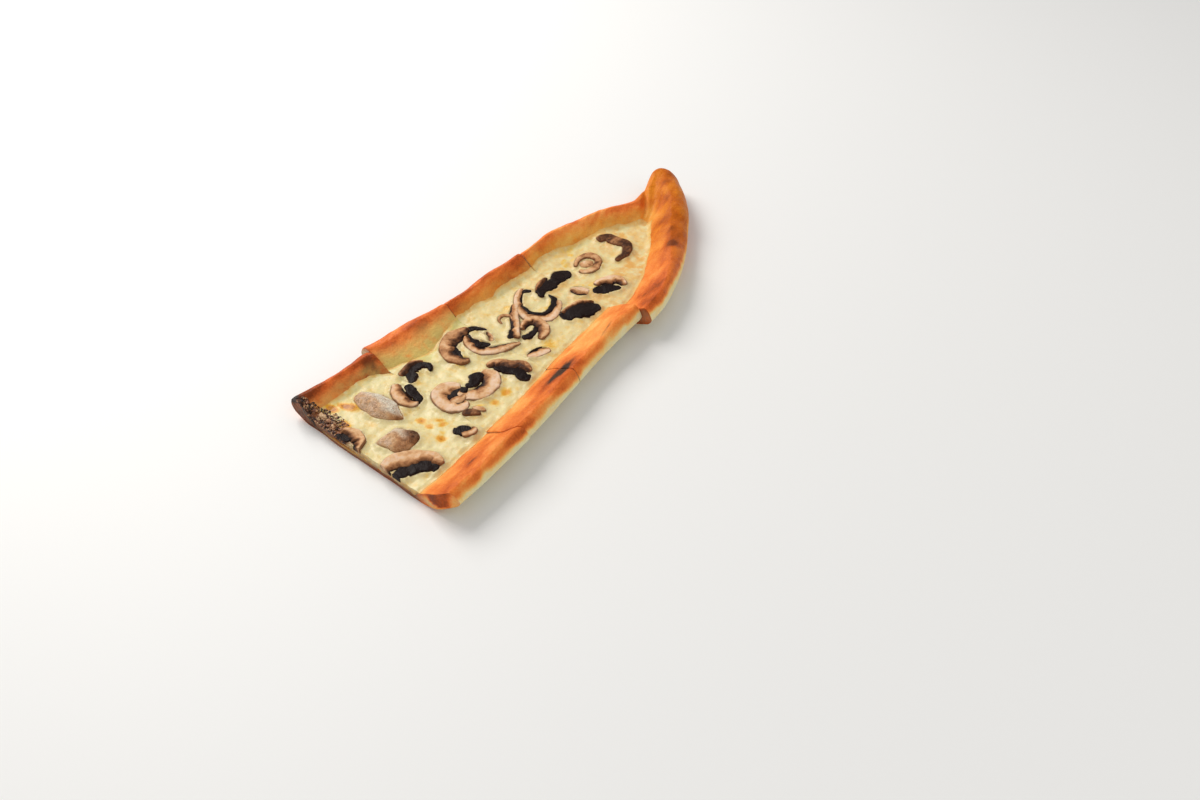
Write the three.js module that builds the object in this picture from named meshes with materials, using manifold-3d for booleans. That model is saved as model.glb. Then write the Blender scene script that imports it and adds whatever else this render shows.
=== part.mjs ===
// Half of a turkish pide: a long boat-shaped flatbread with raised rims, filled with melted cheese
// and sliced mushrooms, cut across into four slices that lie together in the pide's own shape.
// Millimetres, +Z up, +Y towards the pointed tip, the bread's right rim on +X.

import * as THREE from "three";
import { mergeVertices } from "three/addons/utils/BufferGeometryUtils.js";
import Module from "manifold-3d";

const wasm = await Module();
wasm.setup();

// ---------------------------------------------------------------- driving dimensions

// A station is a place along the bread: the y at which the slanted line through it meets x = 0.
const NEAR_END = -1.5; // the straight cut that halved the whole pide
const CUT_C = 49; // between slices 4 and 3
const CUT_B = 104.5; // between slices 3 and 2
const CUT_A = 169; // between slices 2 and 1
const TIP = 306; // end of the pointed tip
const CUT_SLANT = -0.175; // every cut falls this much along y for each millimetre across
const CUT_GAP = 0.7; // width of the knife's slot
// Across the right rim two of the cuts bend forward, less and less over the spread around them.
const HOOKS = [
  { at: CUT_C, from: 48, to: 64, reach: 8, spread: 16 },
  { at: NEAR_END, from: 45, to: 61, reach: 6, spread: 13 },
];

const BASE = 3; // thickness of the bread under the filling
const CHEESE_LEVEL = 6.4; // height of the filling's top over the floor
const CHEESE_EDGE = 0.75; // thickness of the cheese where it thins out on the rim
const LIP_ROUND = 1; // softness of the turn from the level filling up into its lip
const GAP = 0.4; // clearance under a mushroom
const BREAD_GAP = 0.65; // clearance between bread and filling
const WALL_BULGE = 2; // how far the outer wall swells past its upper and lower corners
const NOSE = 11; // length over which the tip rounds off
const NOSE_MIDDLE = 9; // height of the tip's end

// Rims: the width from outer edge to floor, the ridge's share of it, the wall's height at the edge,
// and how high and how far in the underside curves up from the table.
const LEFT_RIM = { crest: 0.3, shoulder: 0.68, lift: 4, flare: 12 };
const RIGHT_RIM = { crest: 0.19, shoulder: 0.76, lift: 8.5, flare: 22 };
const RIM_TAIL = 4.3; // how far a rim's slope runs on under the cheese

// Outline, ridge heights and the distance from each edge to the cheese, square to the edge:
// [station, value].
const LEFT_EDGE = [
  [-1.5, -61.5], [6, -60], [25, -57.5], [49, -55.5], [75, -51.5], [105, -42.5], [130, -39.5],
  [169, -34.5], [198, -31], [215, -26.5], [233, -19], [251, -9], [264, -3.5], [278, -3.5],
  [291, -5.5], [300, -3], [306, 3],
];
const RIGHT_EDGE = [
  [-1.5, 58.5], [30, 60.5], [60, 62], [120, 61.6], [150, 63.3], [169, 65], [186, 65.5], [201, 63.3],
  [219, 59.3], [237, 53], [255, 45], [271.5, 37], [282.5, 30], [293, 21.5], [300, 15], [306, 8],
];
const LEFT_RIDGE = [[-1.5, 15], [20, 13.5], [60, 13.5], [120, 14.5], [200, 15], [260, 15], [290, 17]];
const RIGHT_RIDGE = [[-1.5, 16.5], [60, 17.5], [120, 17], [170, 18], [250, 18], [285, 20]];
const LEFT_CHEESE_INSET = [
  [-1.5, 15], [38, 14], [50, 21], [72, 26], [90, 19], [108, 12], [130, 14], [165, 13.5],
  [182, 11], [208, 17], [228, 14], [245, 15.5], [258, 15.5],
];
const RIGHT_CHEESE_INSET = [[-1.5, 23.2], [60, 23.5], [190, 24], [255, 26]];
const CHEESE_TIP = 255; // station where the filling ends in a point

const SLICES = [
  { name: "1", from: CUT_A, to: TIP, left: [1.5, 0], right: [4.5, 0] },
  { name: "2", from: CUT_B, to: CUT_A, left: [0, 0.5], right: [0, -2] },
  { name: "3", from: CUT_C, to: CUT_B, left: [-1.8, 0], right: [0, 0] },
  { name: "4", from: NEAR_END, to: CUT_C, left: [0, 3.4], right: [0, 0.8] },
];

// The grid of a slice: columns over the left rim, the filling and the right rim, and rows along it.
const COLUMNS = { left: 7, filling: 10, right: 7 };
const ROWS = { slice: 9, toFillingTip: 12, pastFillingTip: 6 };

const MUSHROOM_HEIGHT = 3.6; // thickness of a mushroom slice
const CHUNK_HEIGHT = 5.2; // height of a piece of cap that lies round side up
const SHARD = 14; // a scrap of a cut mushroom under this many cubic millimetres is dropped

// Mushrooms: where each lies, the way its cap points in degrees from +X, and its size.
const MUSHROOMS = [
  { name: "01", kind: "arch", at: [9, 210], turn: 52, span: 28, rise: 17, wall: 7 },
  { name: "02", kind: "chunk", at: [5.5, 193], turn: 40, long: 16.5, wide: 15.5 },
  { name: "03", kind: "arch", at: [31.2, 177.8], turn: 132, span: 22, rise: 12, wall: 7 },
  { name: "04", kind: "chunk", at: [15, 168.3], turn: 17, long: 12.5, wide: 8 },
  { name: "05", kind: "strip", at: [-2.5, 169], turn: 78, long: 30, wide: 10 },
  { name: "06", kind: "arch", at: [2.5, 149.5], turn: -36, span: 28, rise: 16, wall: 7 },
  { name: "07", kind: "strip", at: [26.6, 151.5], turn: 60, long: 23, wide: 10.5 },
  { name: "08", kind: "strip", at: [-6.4, 124], turn: 34, long: 9, wide: 8 },
  { name: "09", kind: "strip", at: [4.8, 118.5], turn: 122, long: 12.5, wide: 7 },
  { name: "10", kind: "arch", at: [13.8, 121.5], turn: 50, span: 17, rise: 10, wall: 5.5 },
  { name: "11", kind: "arch", at: [-6.2, 95.5], turn: 197, span: 30, rise: 17, wall: 7 },
  { name: "12", kind: "arch", at: [3.6, 105.3], turn: -72, span: 27, rise: 13, wall: 6 },
  { name: "13", kind: "arch", at: [21, 86], turn: 104, span: 28, rise: 10.5, wall: 7.5 },
  { name: "14", kind: "arch", at: [9.5, 69], turn: 25, span: 22.5, rise: 13, wall: 7.5 },
  { name: "15", kind: "arch", at: [9.5, 57.8], turn: -121, span: 23, rise: 10.5, wall: 7.5 },
  { name: "16", kind: "chunk", at: [25.5, 50], turn: 25, long: 11, wide: 8.5 },
  { name: "17", kind: "strip", at: [29.2, 35.5], turn: 34, long: 9.5, wide: 10 },
  { name: "18", kind: "arch", at: [-18, 59], turn: 171, span: 15, rise: 14, wall: 5.5 },
  { name: "19", kind: "arch", at: [-12.3, 46.8], turn: -104, span: 17, rise: 9, wall: 5.5 },
  { name: "20", kind: "chunk", at: [-19.8, 29.5], turn: 2, long: 31, wide: 15.5 },
  { name: "21", kind: "chunk", at: [2.8, 18], turn: 45, long: 19, wide: 14 },
  { name: "22", kind: "arch", at: [20.4, 4.4], turn: 120, span: 26, rise: 10.5, wall: 8 },
  { name: "23", kind: "arch", at: [-18, 4.5], turn: 50, span: 19, rise: 9, wall: 6 },
  { name: "24", kind: "chunk", at: [27.6, 105.5], turn: 33, long: 12, wide: 7 },
  { name: "25", kind: "strip", at: [-11.5, 151], turn: 51, long: 8.5, wide: 8 },
];

// ---------------------------------------------------------------- materials

function crustMaterial() {
  return new THREE.MeshStandardMaterial({ color: 0xd98a4e, roughness: 0.7, metalness: 0 });
}

function cheeseMaterial() {
  return new THREE.MeshStandardMaterial({ color: 0xf0e2a8, roughness: 0.45, metalness: 0 });
}

function mushroomMaterial() {
  return new THREE.MeshStandardMaterial({ color: 0xcfa78a, roughness: 0.5, metalness: 0 });
}

// ---------------------------------------------------------------- shape of the bread

// A smooth curve through [station, value] pairs, level beyond both ends.
function track(stations) {
  const slope = (i) => {
    const [before, after] = [stations[Math.max(i - 1, 0)], stations[Math.min(i + 1, stations.length - 1)]];
    return (after[1] - before[1]) / (after[0] - before[0]);
  };
  return (s) => {
    if (s <= stations[0][0]) return stations[0][1];
    if (s >= stations.at(-1)[0]) return stations.at(-1)[1];
    const i = stations.findIndex(([station]) => station > s) - 1;
    const [[s0, a], [s1, b]] = [stations[i], stations[i + 1]];
    const span = s1 - s0;
    const t = (s - s0) / span;
    const bend = slope(i) * span * t * (1 - t) ** 2 - slope(i + 1) * span * t * t * (1 - t);
    return a * (1 + 2 * t) * (1 - t) ** 2 + b * t * t * (3 - 2 * t) + bend;
  };
}

const leftEdge = track(LEFT_EDGE);
const rightEdge = track(RIGHT_EDGE);
const leftRidge = track(LEFT_RIDGE);
const rightRidge = track(RIGHT_RIDGE);
const leftCheeseInset = track(LEFT_CHEESE_INSET);
const rightCheeseInset = track(RIGHT_CHEESE_INSET);

const { lerp, smoothstep, degToRad } = THREE.MathUtils;

// The y that a station's slanted line has at x, with the bends of the cuts in the right rim.
function cutY(s, x) {
  const bend = ({ at, from, to, reach, spread }) =>
    reach * smoothstep(x, from, to) * Math.exp(-(((s - at) / spread) ** 2));
  return HOOKS.reduce((y, hook) => y + bend(hook), s + CUT_SLANT * x);
}

// The station of a point of the plan, away from the bend.
function stationOf(x, y) {
  return y - CUT_SLANT * x;
}

// A slice's outer edges at a station, and how much a slanting edge stretches lengths across.
function edgesOf(slice, s) {
  const t = (s - slice.from) / (slice.to - slice.from);
  const stretch = (edge) => Math.hypot(1, (edge(s + 1) - edge(s - 1)) / 2);
  return {
    left: leftEdge(s) + lerp(...slice.left, t),
    right: rightEdge(s) + lerp(...slice.right, t),
    leftStretch: stretch(leftEdge),
    rightStretch: stretch(rightEdge),
  };
}

// A rim's rise as a share of its ridge height, over the distance d in from the outer edge.
function rimRise(d, width, rim) {
  const t = d / width;
  if (t >= 1) return 0;
  if (t < rim.crest) return 1 - (1 - rim.shoulder) * (1 - t / rim.crest) ** 2;
  const k = (1 - t) / (1 - rim.crest);
  return k * (1.25 - 0.25 * k);
}

// Low dents and swells of a hand-pulled rim.
function rimWave(x, s) {
  return 0.5 * Math.sin(s / 9 + x / 17) + 0.35 * Math.sin(s / 4.3 - x / 6 + 1.1);
}

// The fold where the left rim is pressed against the right one near the tip.
function tipCrease(x, s) {
  const along = smoothstep(s, 248, 256) * (1 - smoothstep(s, 276, 284));
  const line = lerp(13, -1, (s - 253) / 27);
  return -1.6 * along * Math.exp(-(((x - line) / 2.6) ** 2));
}

// Distances in from both edges, square to them.
function insets(slice, x, s) {
  const e = edgesOf(slice, s);
  return [Math.max(0, (x - e.left) / e.leftStretch), Math.max(0, (e.right - x) / e.rightStretch)];
}

// 1 along the bread, falling round to a blunt end at the tip.
function noseRound(s) {
  const t = Math.min(1, (TIP - s) / NOSE);
  return 0.3 + 0.7 * Math.sqrt(1 - (1 - t) ** 2);
}

function breadTop(slice, x, s) {
  const [dl, dr] = insets(slice, x, s);
  const left = (leftRidge(s) - BASE) * rimRise(dl, leftCheeseInset(s) + RIM_TAIL, LEFT_RIM);
  const right = (rightRidge(s) - BASE) * rimRise(dr, rightCheeseInset(s) + RIM_TAIL, RIGHT_RIM);
  const rise = (left ** 4 + right ** 4) ** 0.25;
  const relief = (rimWave(x, s) + tipCrease(x, s)) * Math.min(1, rise / 8);
  return NOSE_MIDDLE + (BASE + rise + relief - NOSE_MIDDLE) * noseRound(s);
}

function breadBottom(slice, x, s) {
  const [dl, dr] = insets(slice, x, s);
  const lift = (d, rim) => rim.lift * Math.max(0, 1 - d / rim.flare) ** 1.3;
  const raised = Math.max(lift(dl, LEFT_RIM), lift(dr, RIGHT_RIM));
  return NOSE_MIDDLE + (raised - NOSE_MIDDLE) * noseRound(s);
}

// ---------------------------------------------------------------- the filling

function cheeseEdges(slice, s) {
  const e = edgesOf(slice, s);
  return {
    left: e.left + leftCheeseInset(s) * e.leftStretch,
    right: e.right - rightCheeseInset(s) * e.rightStretch,
  };
}

function cheeseLumps(x, s) {
  return 0.4 * Math.sin(x / 10 + 1.3) * Math.cos(s / 12) + 0.25 * Math.sin(x / 6 - s / 8 + 2);
}

// Level over the base, running up smoothly into a thin lip on the rims.
function cheeseTop(slice, x, s) {
  const pool = CHEESE_LEVEL + cheeseLumps(x, s);
  const lip = breadTop(slice, x, s) + BREAD_GAP + CHEESE_EDGE;
  return (pool + lip + Math.hypot(pool - lip, LIP_ROUND)) / 2;
}

// ---------------------------------------------------------------- solids

// A box of bent sides: place(u, v, w) puts each point of the unit box, with u, v and w from 0 to 1.
function bentBox([across, along, up], place) {
  const box = new THREE.BoxGeometry(1, 1, 1, across, along, up);
  const points = box.attributes.position;
  for (let i = 0; i < points.count; i++) {
    const [u, v, w] = [points.getX(i) + 0.5, points.getY(i) + 0.5, points.getZ(i) + 0.5];
    points.setXYZ(i, ...place(u, v, w));
  }
  return closed(box);
}

// The geometry with its shared vertices merged, as one closed surface.
function closed(geometry) {
  geometry.deleteAttribute("normal");
  geometry.deleteAttribute("uv");
  const merged = mergeVertices(geometry, 1e-4);
  merged.computeVertexNormals();
  return merged;
}

function namedMesh(name, geometry, material) {
  const mesh = new THREE.Mesh(geometry, material);
  mesh.name = name;
  return mesh;
}

// The x of grid column i at a station. The outer wall stands in from the edge by the inset.
function columnX(slice, s, i, inset) {
  const e = edgesOf(slice, s);
  const { left, filling, right } = COLUMNS;
  const end = Math.min(s, CHEESE_TIP);
  const [bread, cheese] = [edgesOf(slice, end), cheeseEdges(slice, end)];
  const share = (x) => lerp(e.left, e.right, (x - bread.left) / (bread.right - bread.left));
  const [from, to] = [share(cheese.left), share(cheese.right)];
  if (i < left) return lerp(e.left + inset, from, (i / left) ** 1.15);
  if (i > left + filling) return lerp(e.right - inset, to, ((left + filling + right - i) / right) ** 1.15);
  return lerp(from, to, (i - left) / filling);
}

// The station of grid row j. The tip slice has a row where its filling ends.
function rowStation(slice, j) {
  const first = slice.from + CUT_GAP / 2;
  if (slice.to !== TIP) return lerp(first, slice.to - CUT_GAP / 2, j / ROWS.slice);
  const past = j - ROWS.toFillingTip;
  if (past <= 0) return lerp(first, CHEESE_TIP, j / ROWS.toFillingTip);
  return lerp(CHEESE_TIP, TIP, past / ROWS.pastFillingTip);
}

function breadSolid(slice) {
  const across = COLUMNS.left + COLUMNS.filling + COLUMNS.right;
  const along = slice.to === TIP ? ROWS.toFillingTip + ROWS.pastFillingTip : ROWS.slice;
  return bentBox([across, along, 3], (u, v, w) => {
    const s = rowStation(slice, Math.round(v * along));
    const x = columnX(slice, s, Math.round(u * across), WALL_BULGE * (2 * w - 1) ** 2);
    return [x, cutY(s, x), lerp(breadBottom(slice, x, s), breadTop(slice, x, s), w)];
  });
}

// The filling of a slice, on the bread's own grid.
function cheeseSolid(slice) {
  const across = COLUMNS.filling;
  const along = slice.to === TIP ? ROWS.toFillingTip : ROWS.slice;
  return bentBox([across, along, 1], (u, v, w) => {
    const s = rowStation(slice, Math.round(v * along));
    const x = columnX(slice, s, COLUMNS.left + Math.round(u * across), 0);
    return [x, cutY(s, x), w ? cheeseTop(slice, x, s) : breadTop(slice, x, s) + BREAD_GAP];
  });
}

// ---------------------------------------------------------------- mushrooms

// A slice through a whole mushroom: the cap's arch, its two ends rolled in, open below.
function archOutline({ span, rise, wall }) {
  const half = span / 2;
  const inner = half - wall;
  const shape = new THREE.Shape();
  shape.moveTo(-half, 0);
  shape.absellipse(0, 0, half, rise, Math.PI, 0, true);
  shape.quadraticCurveTo(half - wall * 0.35, -wall * 0.75, inner, 0);
  shape.absellipse(0, 0, inner, rise - wall, 0, Math.PI, false);
  shape.quadraticCurveTo(-half + wall * 0.35, -wall * 0.75, -half, 0);
  return shape;
}

// A piece seen on its gills or stem: an oval with its ends a little square.
function stripOutline({ long, wide }) {
  const [a, b] = [long / 2, wide / 2];
  const shape = new THREE.Shape();
  shape.moveTo(a, 0);
  shape.bezierCurveTo(a, b * 0.8, a * 0.62, b, 0, b);
  shape.bezierCurveTo(-a * 0.62, b, -a, b * 0.8, -a, 0);
  shape.bezierCurveTo(-a, -b * 0.8, -a * 0.62, -b, 0, -b);
  shape.bezierCurveTo(a * 0.62, -b, a, -b * 0.8, a, 0);
  return shape;
}

function slicedPiece(outline, curveSegments) {
  const bevel = 0.7;
  return new THREE.ExtrudeGeometry(outline, {
    depth: MUSHROOM_HEIGHT - 2 * bevel,
    bevelThickness: bevel,
    bevelSize: bevel,
    bevelOffset: -bevel,
    bevelSegments: 1,
    curveSegments,
  }).translate(0, 0, bevel);
}

// A piece of cap, round side up: a low dome on a flat underside.
function chunkPiece({ long, wide }) {
  const dome = new THREE.SphereGeometry(1, 14, 6, 0, 2 * Math.PI, 0, 0.62 * Math.PI).rotateX(Math.PI / 2);
  const floor = new THREE.CircleGeometry(Math.sin(0.62 * Math.PI), 14).rotateX(Math.PI);
  const low = Math.cos(0.62 * Math.PI);
  const rim = dome.toNonIndexed().attributes.position.array;
  const base = floor.translate(0, 0, low).toNonIndexed().attributes.position.array;
  const whole = new THREE.BufferGeometry();
  whole.setAttribute("position", new THREE.Float32BufferAttribute([...rim, ...base], 3));
  return whole.translate(0, 0, -low).scale(long / 2, wide / 2, CHUNK_HEIGHT / (1 - low));
}

const PIECES = {
  arch: (piece) => slicedPiece(archOutline(piece), 5).rotateZ(degToRad(piece.turn - 90)),
  strip: (piece) => slicedPiece(stripOutline(piece), 4).rotateZ(degToRad(piece.turn)),
  chunk: (piece) => chunkPiece(piece).rotateZ(degToRad(piece.turn)),
};

// Lays a piece on the filling, each point as high over it as it was over the table.
function draped(geometry, slice) {
  const points = geometry.attributes.position;
  for (let i = 0; i < points.count; i++) {
    const [x, y] = [points.getX(i), points.getY(i)];
    points.setZ(i, points.getZ(i) + cheeseTop(slice, x, stationOf(x, y)) + GAP);
  }
  return geometry;
}

// The room of one slice between its cuts, far wider and higher than the bread.
function sliceRoom(slice) {
  const first = slice.from + CUT_GAP / 2;
  const last = slice.to - CUT_GAP / 2;
  return bentBox([1, 1, 1], (u, v, w) => {
    const x = lerp(-120, 120, u);
    return [x, lerp(first, last, v) + CUT_SLANT * x, lerp(-10, 60, w)];
  });
}

function solidOf(geometry) {
  return new wasm.Manifold(
    new wasm.Mesh({
      numProp: 3,
      vertProperties: new Float32Array(geometry.attributes.position.array),
      triVerts: new Uint32Array(geometry.index.array),
    }),
  );
}

function geometryOf(solid) {
  const { vertProperties, triVerts } = solid.getMesh();
  const geometry = new THREE.BufferGeometry();
  geometry.setAttribute("position", new THREE.BufferAttribute(new Float32Array(vertProperties), 3));
  geometry.setIndex(new THREE.BufferAttribute(new Uint32Array(triVerts), 1));
  geometry.computeVertexNormals();
  return geometry;
}

// The mushrooms that lie on a slice. One that a cut crosses is cut with the bread.
function mushroomsOn(slice) {
  const room = solidOf(sliceRoom(slice));
  const meshes = [];
  for (const piece of MUSHROOMS) {
    const laid = PIECES[piece.kind](piece).translate(...piece.at, 0);
    const whole = solidOf(closed(draped(laid, slice)));
    const kept = whole.intersect(room);
    if (kept.volume() < SHARD) continue;
    const cut = whole.volume() - kept.volume() > SHARD;
    const name = `mushroom_${piece.name}` + (cut ? `_slice_${slice.name}` : "");
    meshes.push(namedMesh(name, geometryOf(cut ? kept : whole), mushroomMaterial()));
  }
  return meshes;
}

// ---------------------------------------------------------------- the pide

function pideSlice(slice) {
  const group = new THREE.Group();
  group.add(namedMesh(`dough_${slice.name}`, breadSolid(slice), crustMaterial()));
  group.add(namedMesh(`cheese_${slice.name}`, cheeseSolid(slice), cheeseMaterial()));
  group.add(...mushroomsOn(slice));
  return group;
}

const pide = new THREE.Group();
pide.add(...SLICES.map(pideSlice));

// The origin goes to the middle of the underside's bounding rectangle.
const bounds = new THREE.Box3().setFromObject(pide);
const middle = bounds.getCenter(new THREE.Vector3());
pide.position.set(-middle.x, -middle.y, -bounds.min.z);

export default pide;
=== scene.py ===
"""Half of a turkish pide cut into four slices: flatbread, melted cheese and sliced mushrooms.

Shapes are worked out on the bread's own drawing, in millimetres, and go into the meshes in metres.
A station is a place along the bread: the y at which the slanted line through it meets x = 0.
"""

import itertools  # noqa: E402
import logging  # noqa: E402
import math  # noqa: E402
from collections.abc import Callable, Sequence  # noqa: E402
from dataclasses import dataclass, field, replace  # noqa: E402
from enum import Enum  # noqa: E402
from functools import partial  # noqa: E402
from typing import ClassVar  # noqa: E402

import bmesh  # noqa: E402
import bpy  # noqa: E402
import numpy as np  # noqa: E402
from mathutils import Euler, Matrix, Vector  # noqa: E402


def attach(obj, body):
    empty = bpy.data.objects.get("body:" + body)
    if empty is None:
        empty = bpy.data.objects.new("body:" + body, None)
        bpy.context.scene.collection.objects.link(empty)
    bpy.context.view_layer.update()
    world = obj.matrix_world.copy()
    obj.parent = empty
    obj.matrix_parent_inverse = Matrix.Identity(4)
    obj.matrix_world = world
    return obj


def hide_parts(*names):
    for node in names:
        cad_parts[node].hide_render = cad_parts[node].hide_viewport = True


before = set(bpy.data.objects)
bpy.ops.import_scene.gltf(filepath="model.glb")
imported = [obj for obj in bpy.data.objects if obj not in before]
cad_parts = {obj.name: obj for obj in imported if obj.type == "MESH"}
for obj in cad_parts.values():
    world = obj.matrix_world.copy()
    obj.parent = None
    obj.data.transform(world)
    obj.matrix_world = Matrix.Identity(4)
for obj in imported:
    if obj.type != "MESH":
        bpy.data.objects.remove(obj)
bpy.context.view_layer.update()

log = logging.getLogger("pide")

Array = np.ndarray
Triple = tuple[float, float, float]
Colour = Triple
Stops = tuple[tuple[float, Colour], ...]
Socket = bpy.types.NodeSocket

MM = 0.001
MIDDLE = (4.1476, 148.1505)  # the drawing's point over the part's origin

NEAR_END = -1.5
CUT_C = 49.0
CUT_B = 104.5
CUT_A = 169.0
TIP = 306.0
CUT_SLANT = -0.175

HASH_FACTORS = (374761393, 668265263, 1274126177)
SEED_FACTOR = 974634777
MIX_FACTOR = 1103515245
WORD = 0xFFFFFFFF
LATTICE_START = 1000.5  # keeps every cell of the random lattice above zero


# ---------------------------------------------------------------- small mathematics


def lerp(a: Array | float, b: Array | float, t: Array | float) -> Array:
    """Return the value t of the way from a to b."""
    return a + (b - a) * t


def ease(value: Array | float, low: float, high: float) -> Array:
    """Return 0 below low and 1 above high, with a smooth turn between them."""
    t = np.clip((np.asarray(value, dtype=float) - low) / (high - low), 0.0, 1.0)
    return t * t * (3.0 - 2.0 * t)


def quarter_round(t: Array) -> Array:
    """Return how far a quarter circle has fallen, from 1 at its edge to 0 at its crown."""
    return 1.0 - np.sqrt(np.clip(1.0 - (1.0 - np.clip(t, 0.0, 1.0)) ** 2, 0.0, 1.0))


def crowd(t: Array, amount: float) -> Array:
    """Pack evenly spaced places between 0 and 1 closer towards both ends."""
    return t - amount * np.sin(2.0 * math.pi * t) / (2.0 * math.pi)


@dataclass(frozen=True)
class Track:
    """A smooth curve through (station, value) pairs, level beyond both ends."""

    stations: tuple[tuple[float, float], ...]

    def at(self, s: Array) -> Array:
        """Return the curve's value at each station."""
        xs, ys = np.array(self.stations, dtype=float).T
        before = np.maximum(np.arange(len(xs)) - 1, 0)
        after = np.minimum(np.arange(len(xs)) + 1, len(xs) - 1)
        slopes = (ys[after] - ys[before]) / (xs[after] - xs[before])
        s = np.clip(s, xs[0], xs[-1])
        i = np.clip(np.searchsorted(xs, s, side="right") - 1, 0, len(xs) - 2)
        span = xs[i + 1] - xs[i]
        t = (s - xs[i]) / span
        bend = span * t * (1 - t) * (slopes[i] * (1 - t) - slopes[i + 1] * t)
        return ys[i] * (1 + 2 * t) * (1 - t) ** 2 + ys[i + 1] * t * t * (3 - 2 * t) + bend


@dataclass(frozen=True)
class Grain:
    """Smooth random relief between -1 and 1, the same on every run."""

    seed: int

    def _corner(self, *cells: Array) -> Array:
        """Return the random value that belongs to each corner of the lattice."""
        h = sum(cell * factor for cell, factor in zip(cells, HASH_FACTORS)) + self.seed * SEED_FACTOR
        h = h & WORD
        h = ((h ^ (h >> 13)) * MIX_FACTOR) & WORD
        return ((h ^ (h >> 16)) & 0xFFFF) / 32767.5 - 1.0

    def at(self, x: Array, y: Array, z: Array | float, size: float) -> Array:
        """Return the relief of blobs of one size.

        Args:
            x: places along x, in millimetres.
            y: places along y.
            z: places along z.
            size: how far apart the blobs are.

        Returns:
            One value for each place.
        """
        cells, parts = [], []
        for axis in np.broadcast_arrays(x, y, z):
            scaled = axis / size + LATTICE_START
            cell = np.floor(scaled)
            t = scaled - cell
            cells.append(cell.astype(np.int64))
            parts.append(t * t * t * (t * (t * 6 - 15) + 10))
        total = np.zeros(parts[0].shape)
        for corner in itertools.product((0, 1), repeat=3):
            weight = math.prod(np.abs(1 - k - part) for k, part in zip(corner, parts))
            total += weight * self._corner(*(cell + k for k, cell in zip(corner, cells)))
        return total

    def layered(self, x: Array, y: Array, z: Array | float, size: float, layers: int = 3) -> Array:
        """Return relief with finer and weaker layers laid over the first."""
        return sum(self.at(x, y, z, size * 0.47**k) * 0.5**k for k in range(layers))


# ---------------------------------------------------------------- the bread's drawing


@dataclass(frozen=True)
class Rim:
    """The section of one raised edge: crest and shoulder as shares, lift and flare in mm."""

    crest: float
    shoulder: float
    lift: float
    flare: float
    tube_crest: float = 0.4
    tube_shoulder: float = 0.6

    def rise(self, d: Array, width: Array, tube: Array | float = 0.0) -> Array:
        """Return the rise as a share of the ridge height.

        Args:
            d: distance in from the outer edge.
            width: the rim's width.
            tube: how far the section has turned into a round tube, 0 to 1.
        """
        t = d / width
        crest = lerp(self.crest, self.tube_crest, tube)
        shoulder = lerp(self.shoulder, self.tube_shoulder, tube)
        outer = 1 - (1 - shoulder) * (1 - t / crest) ** 2
        left_over = np.clip((1 - t) / (1 - crest), 0.0, None)
        belly = lerp(0.25, 0.6, tube)
        return np.where(t < crest, outer, left_over * (1 + belly - belly * left_over))

    def underside(self, d: Array) -> Array:
        """Return how far the underside has curved up from the table."""
        return self.lift * np.clip(1 - d / self.flare, 0.0, None) ** 1.3


@dataclass(frozen=True)
class Hook:
    """The forward bend of one cut across the right rim."""

    station: float
    start: float
    end: float
    reach: float
    spread: float


@dataclass(frozen=True)
class SliceSpan:
    """One slice between two cuts, with its shifts of the outer edges at its near and far cut."""

    name: str
    near: float
    far: float
    left: tuple[float, float]
    right: tuple[float, float]


SLICES = (
    SliceSpan("1", CUT_A, TIP, (1.5, 0.0), (4.5, 0.0)),
    SliceSpan("2", CUT_B, CUT_A, (0.0, 0.5), (0.0, -2.0)),
    SliceSpan("3", CUT_C, CUT_B, (-1.8, 0.0), (0.0, 0.0)),
    SliceSpan("4", NEAR_END, CUT_C, (0.0, 3.4), (0.0, 0.8)),
)


@dataclass(frozen=True)
class Edges:
    """The outer edges at some stations, and how much each one's slant stretches lengths across."""

    left: Array
    right: Array
    left_stretch: Array
    right_stretch: Array


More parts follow.
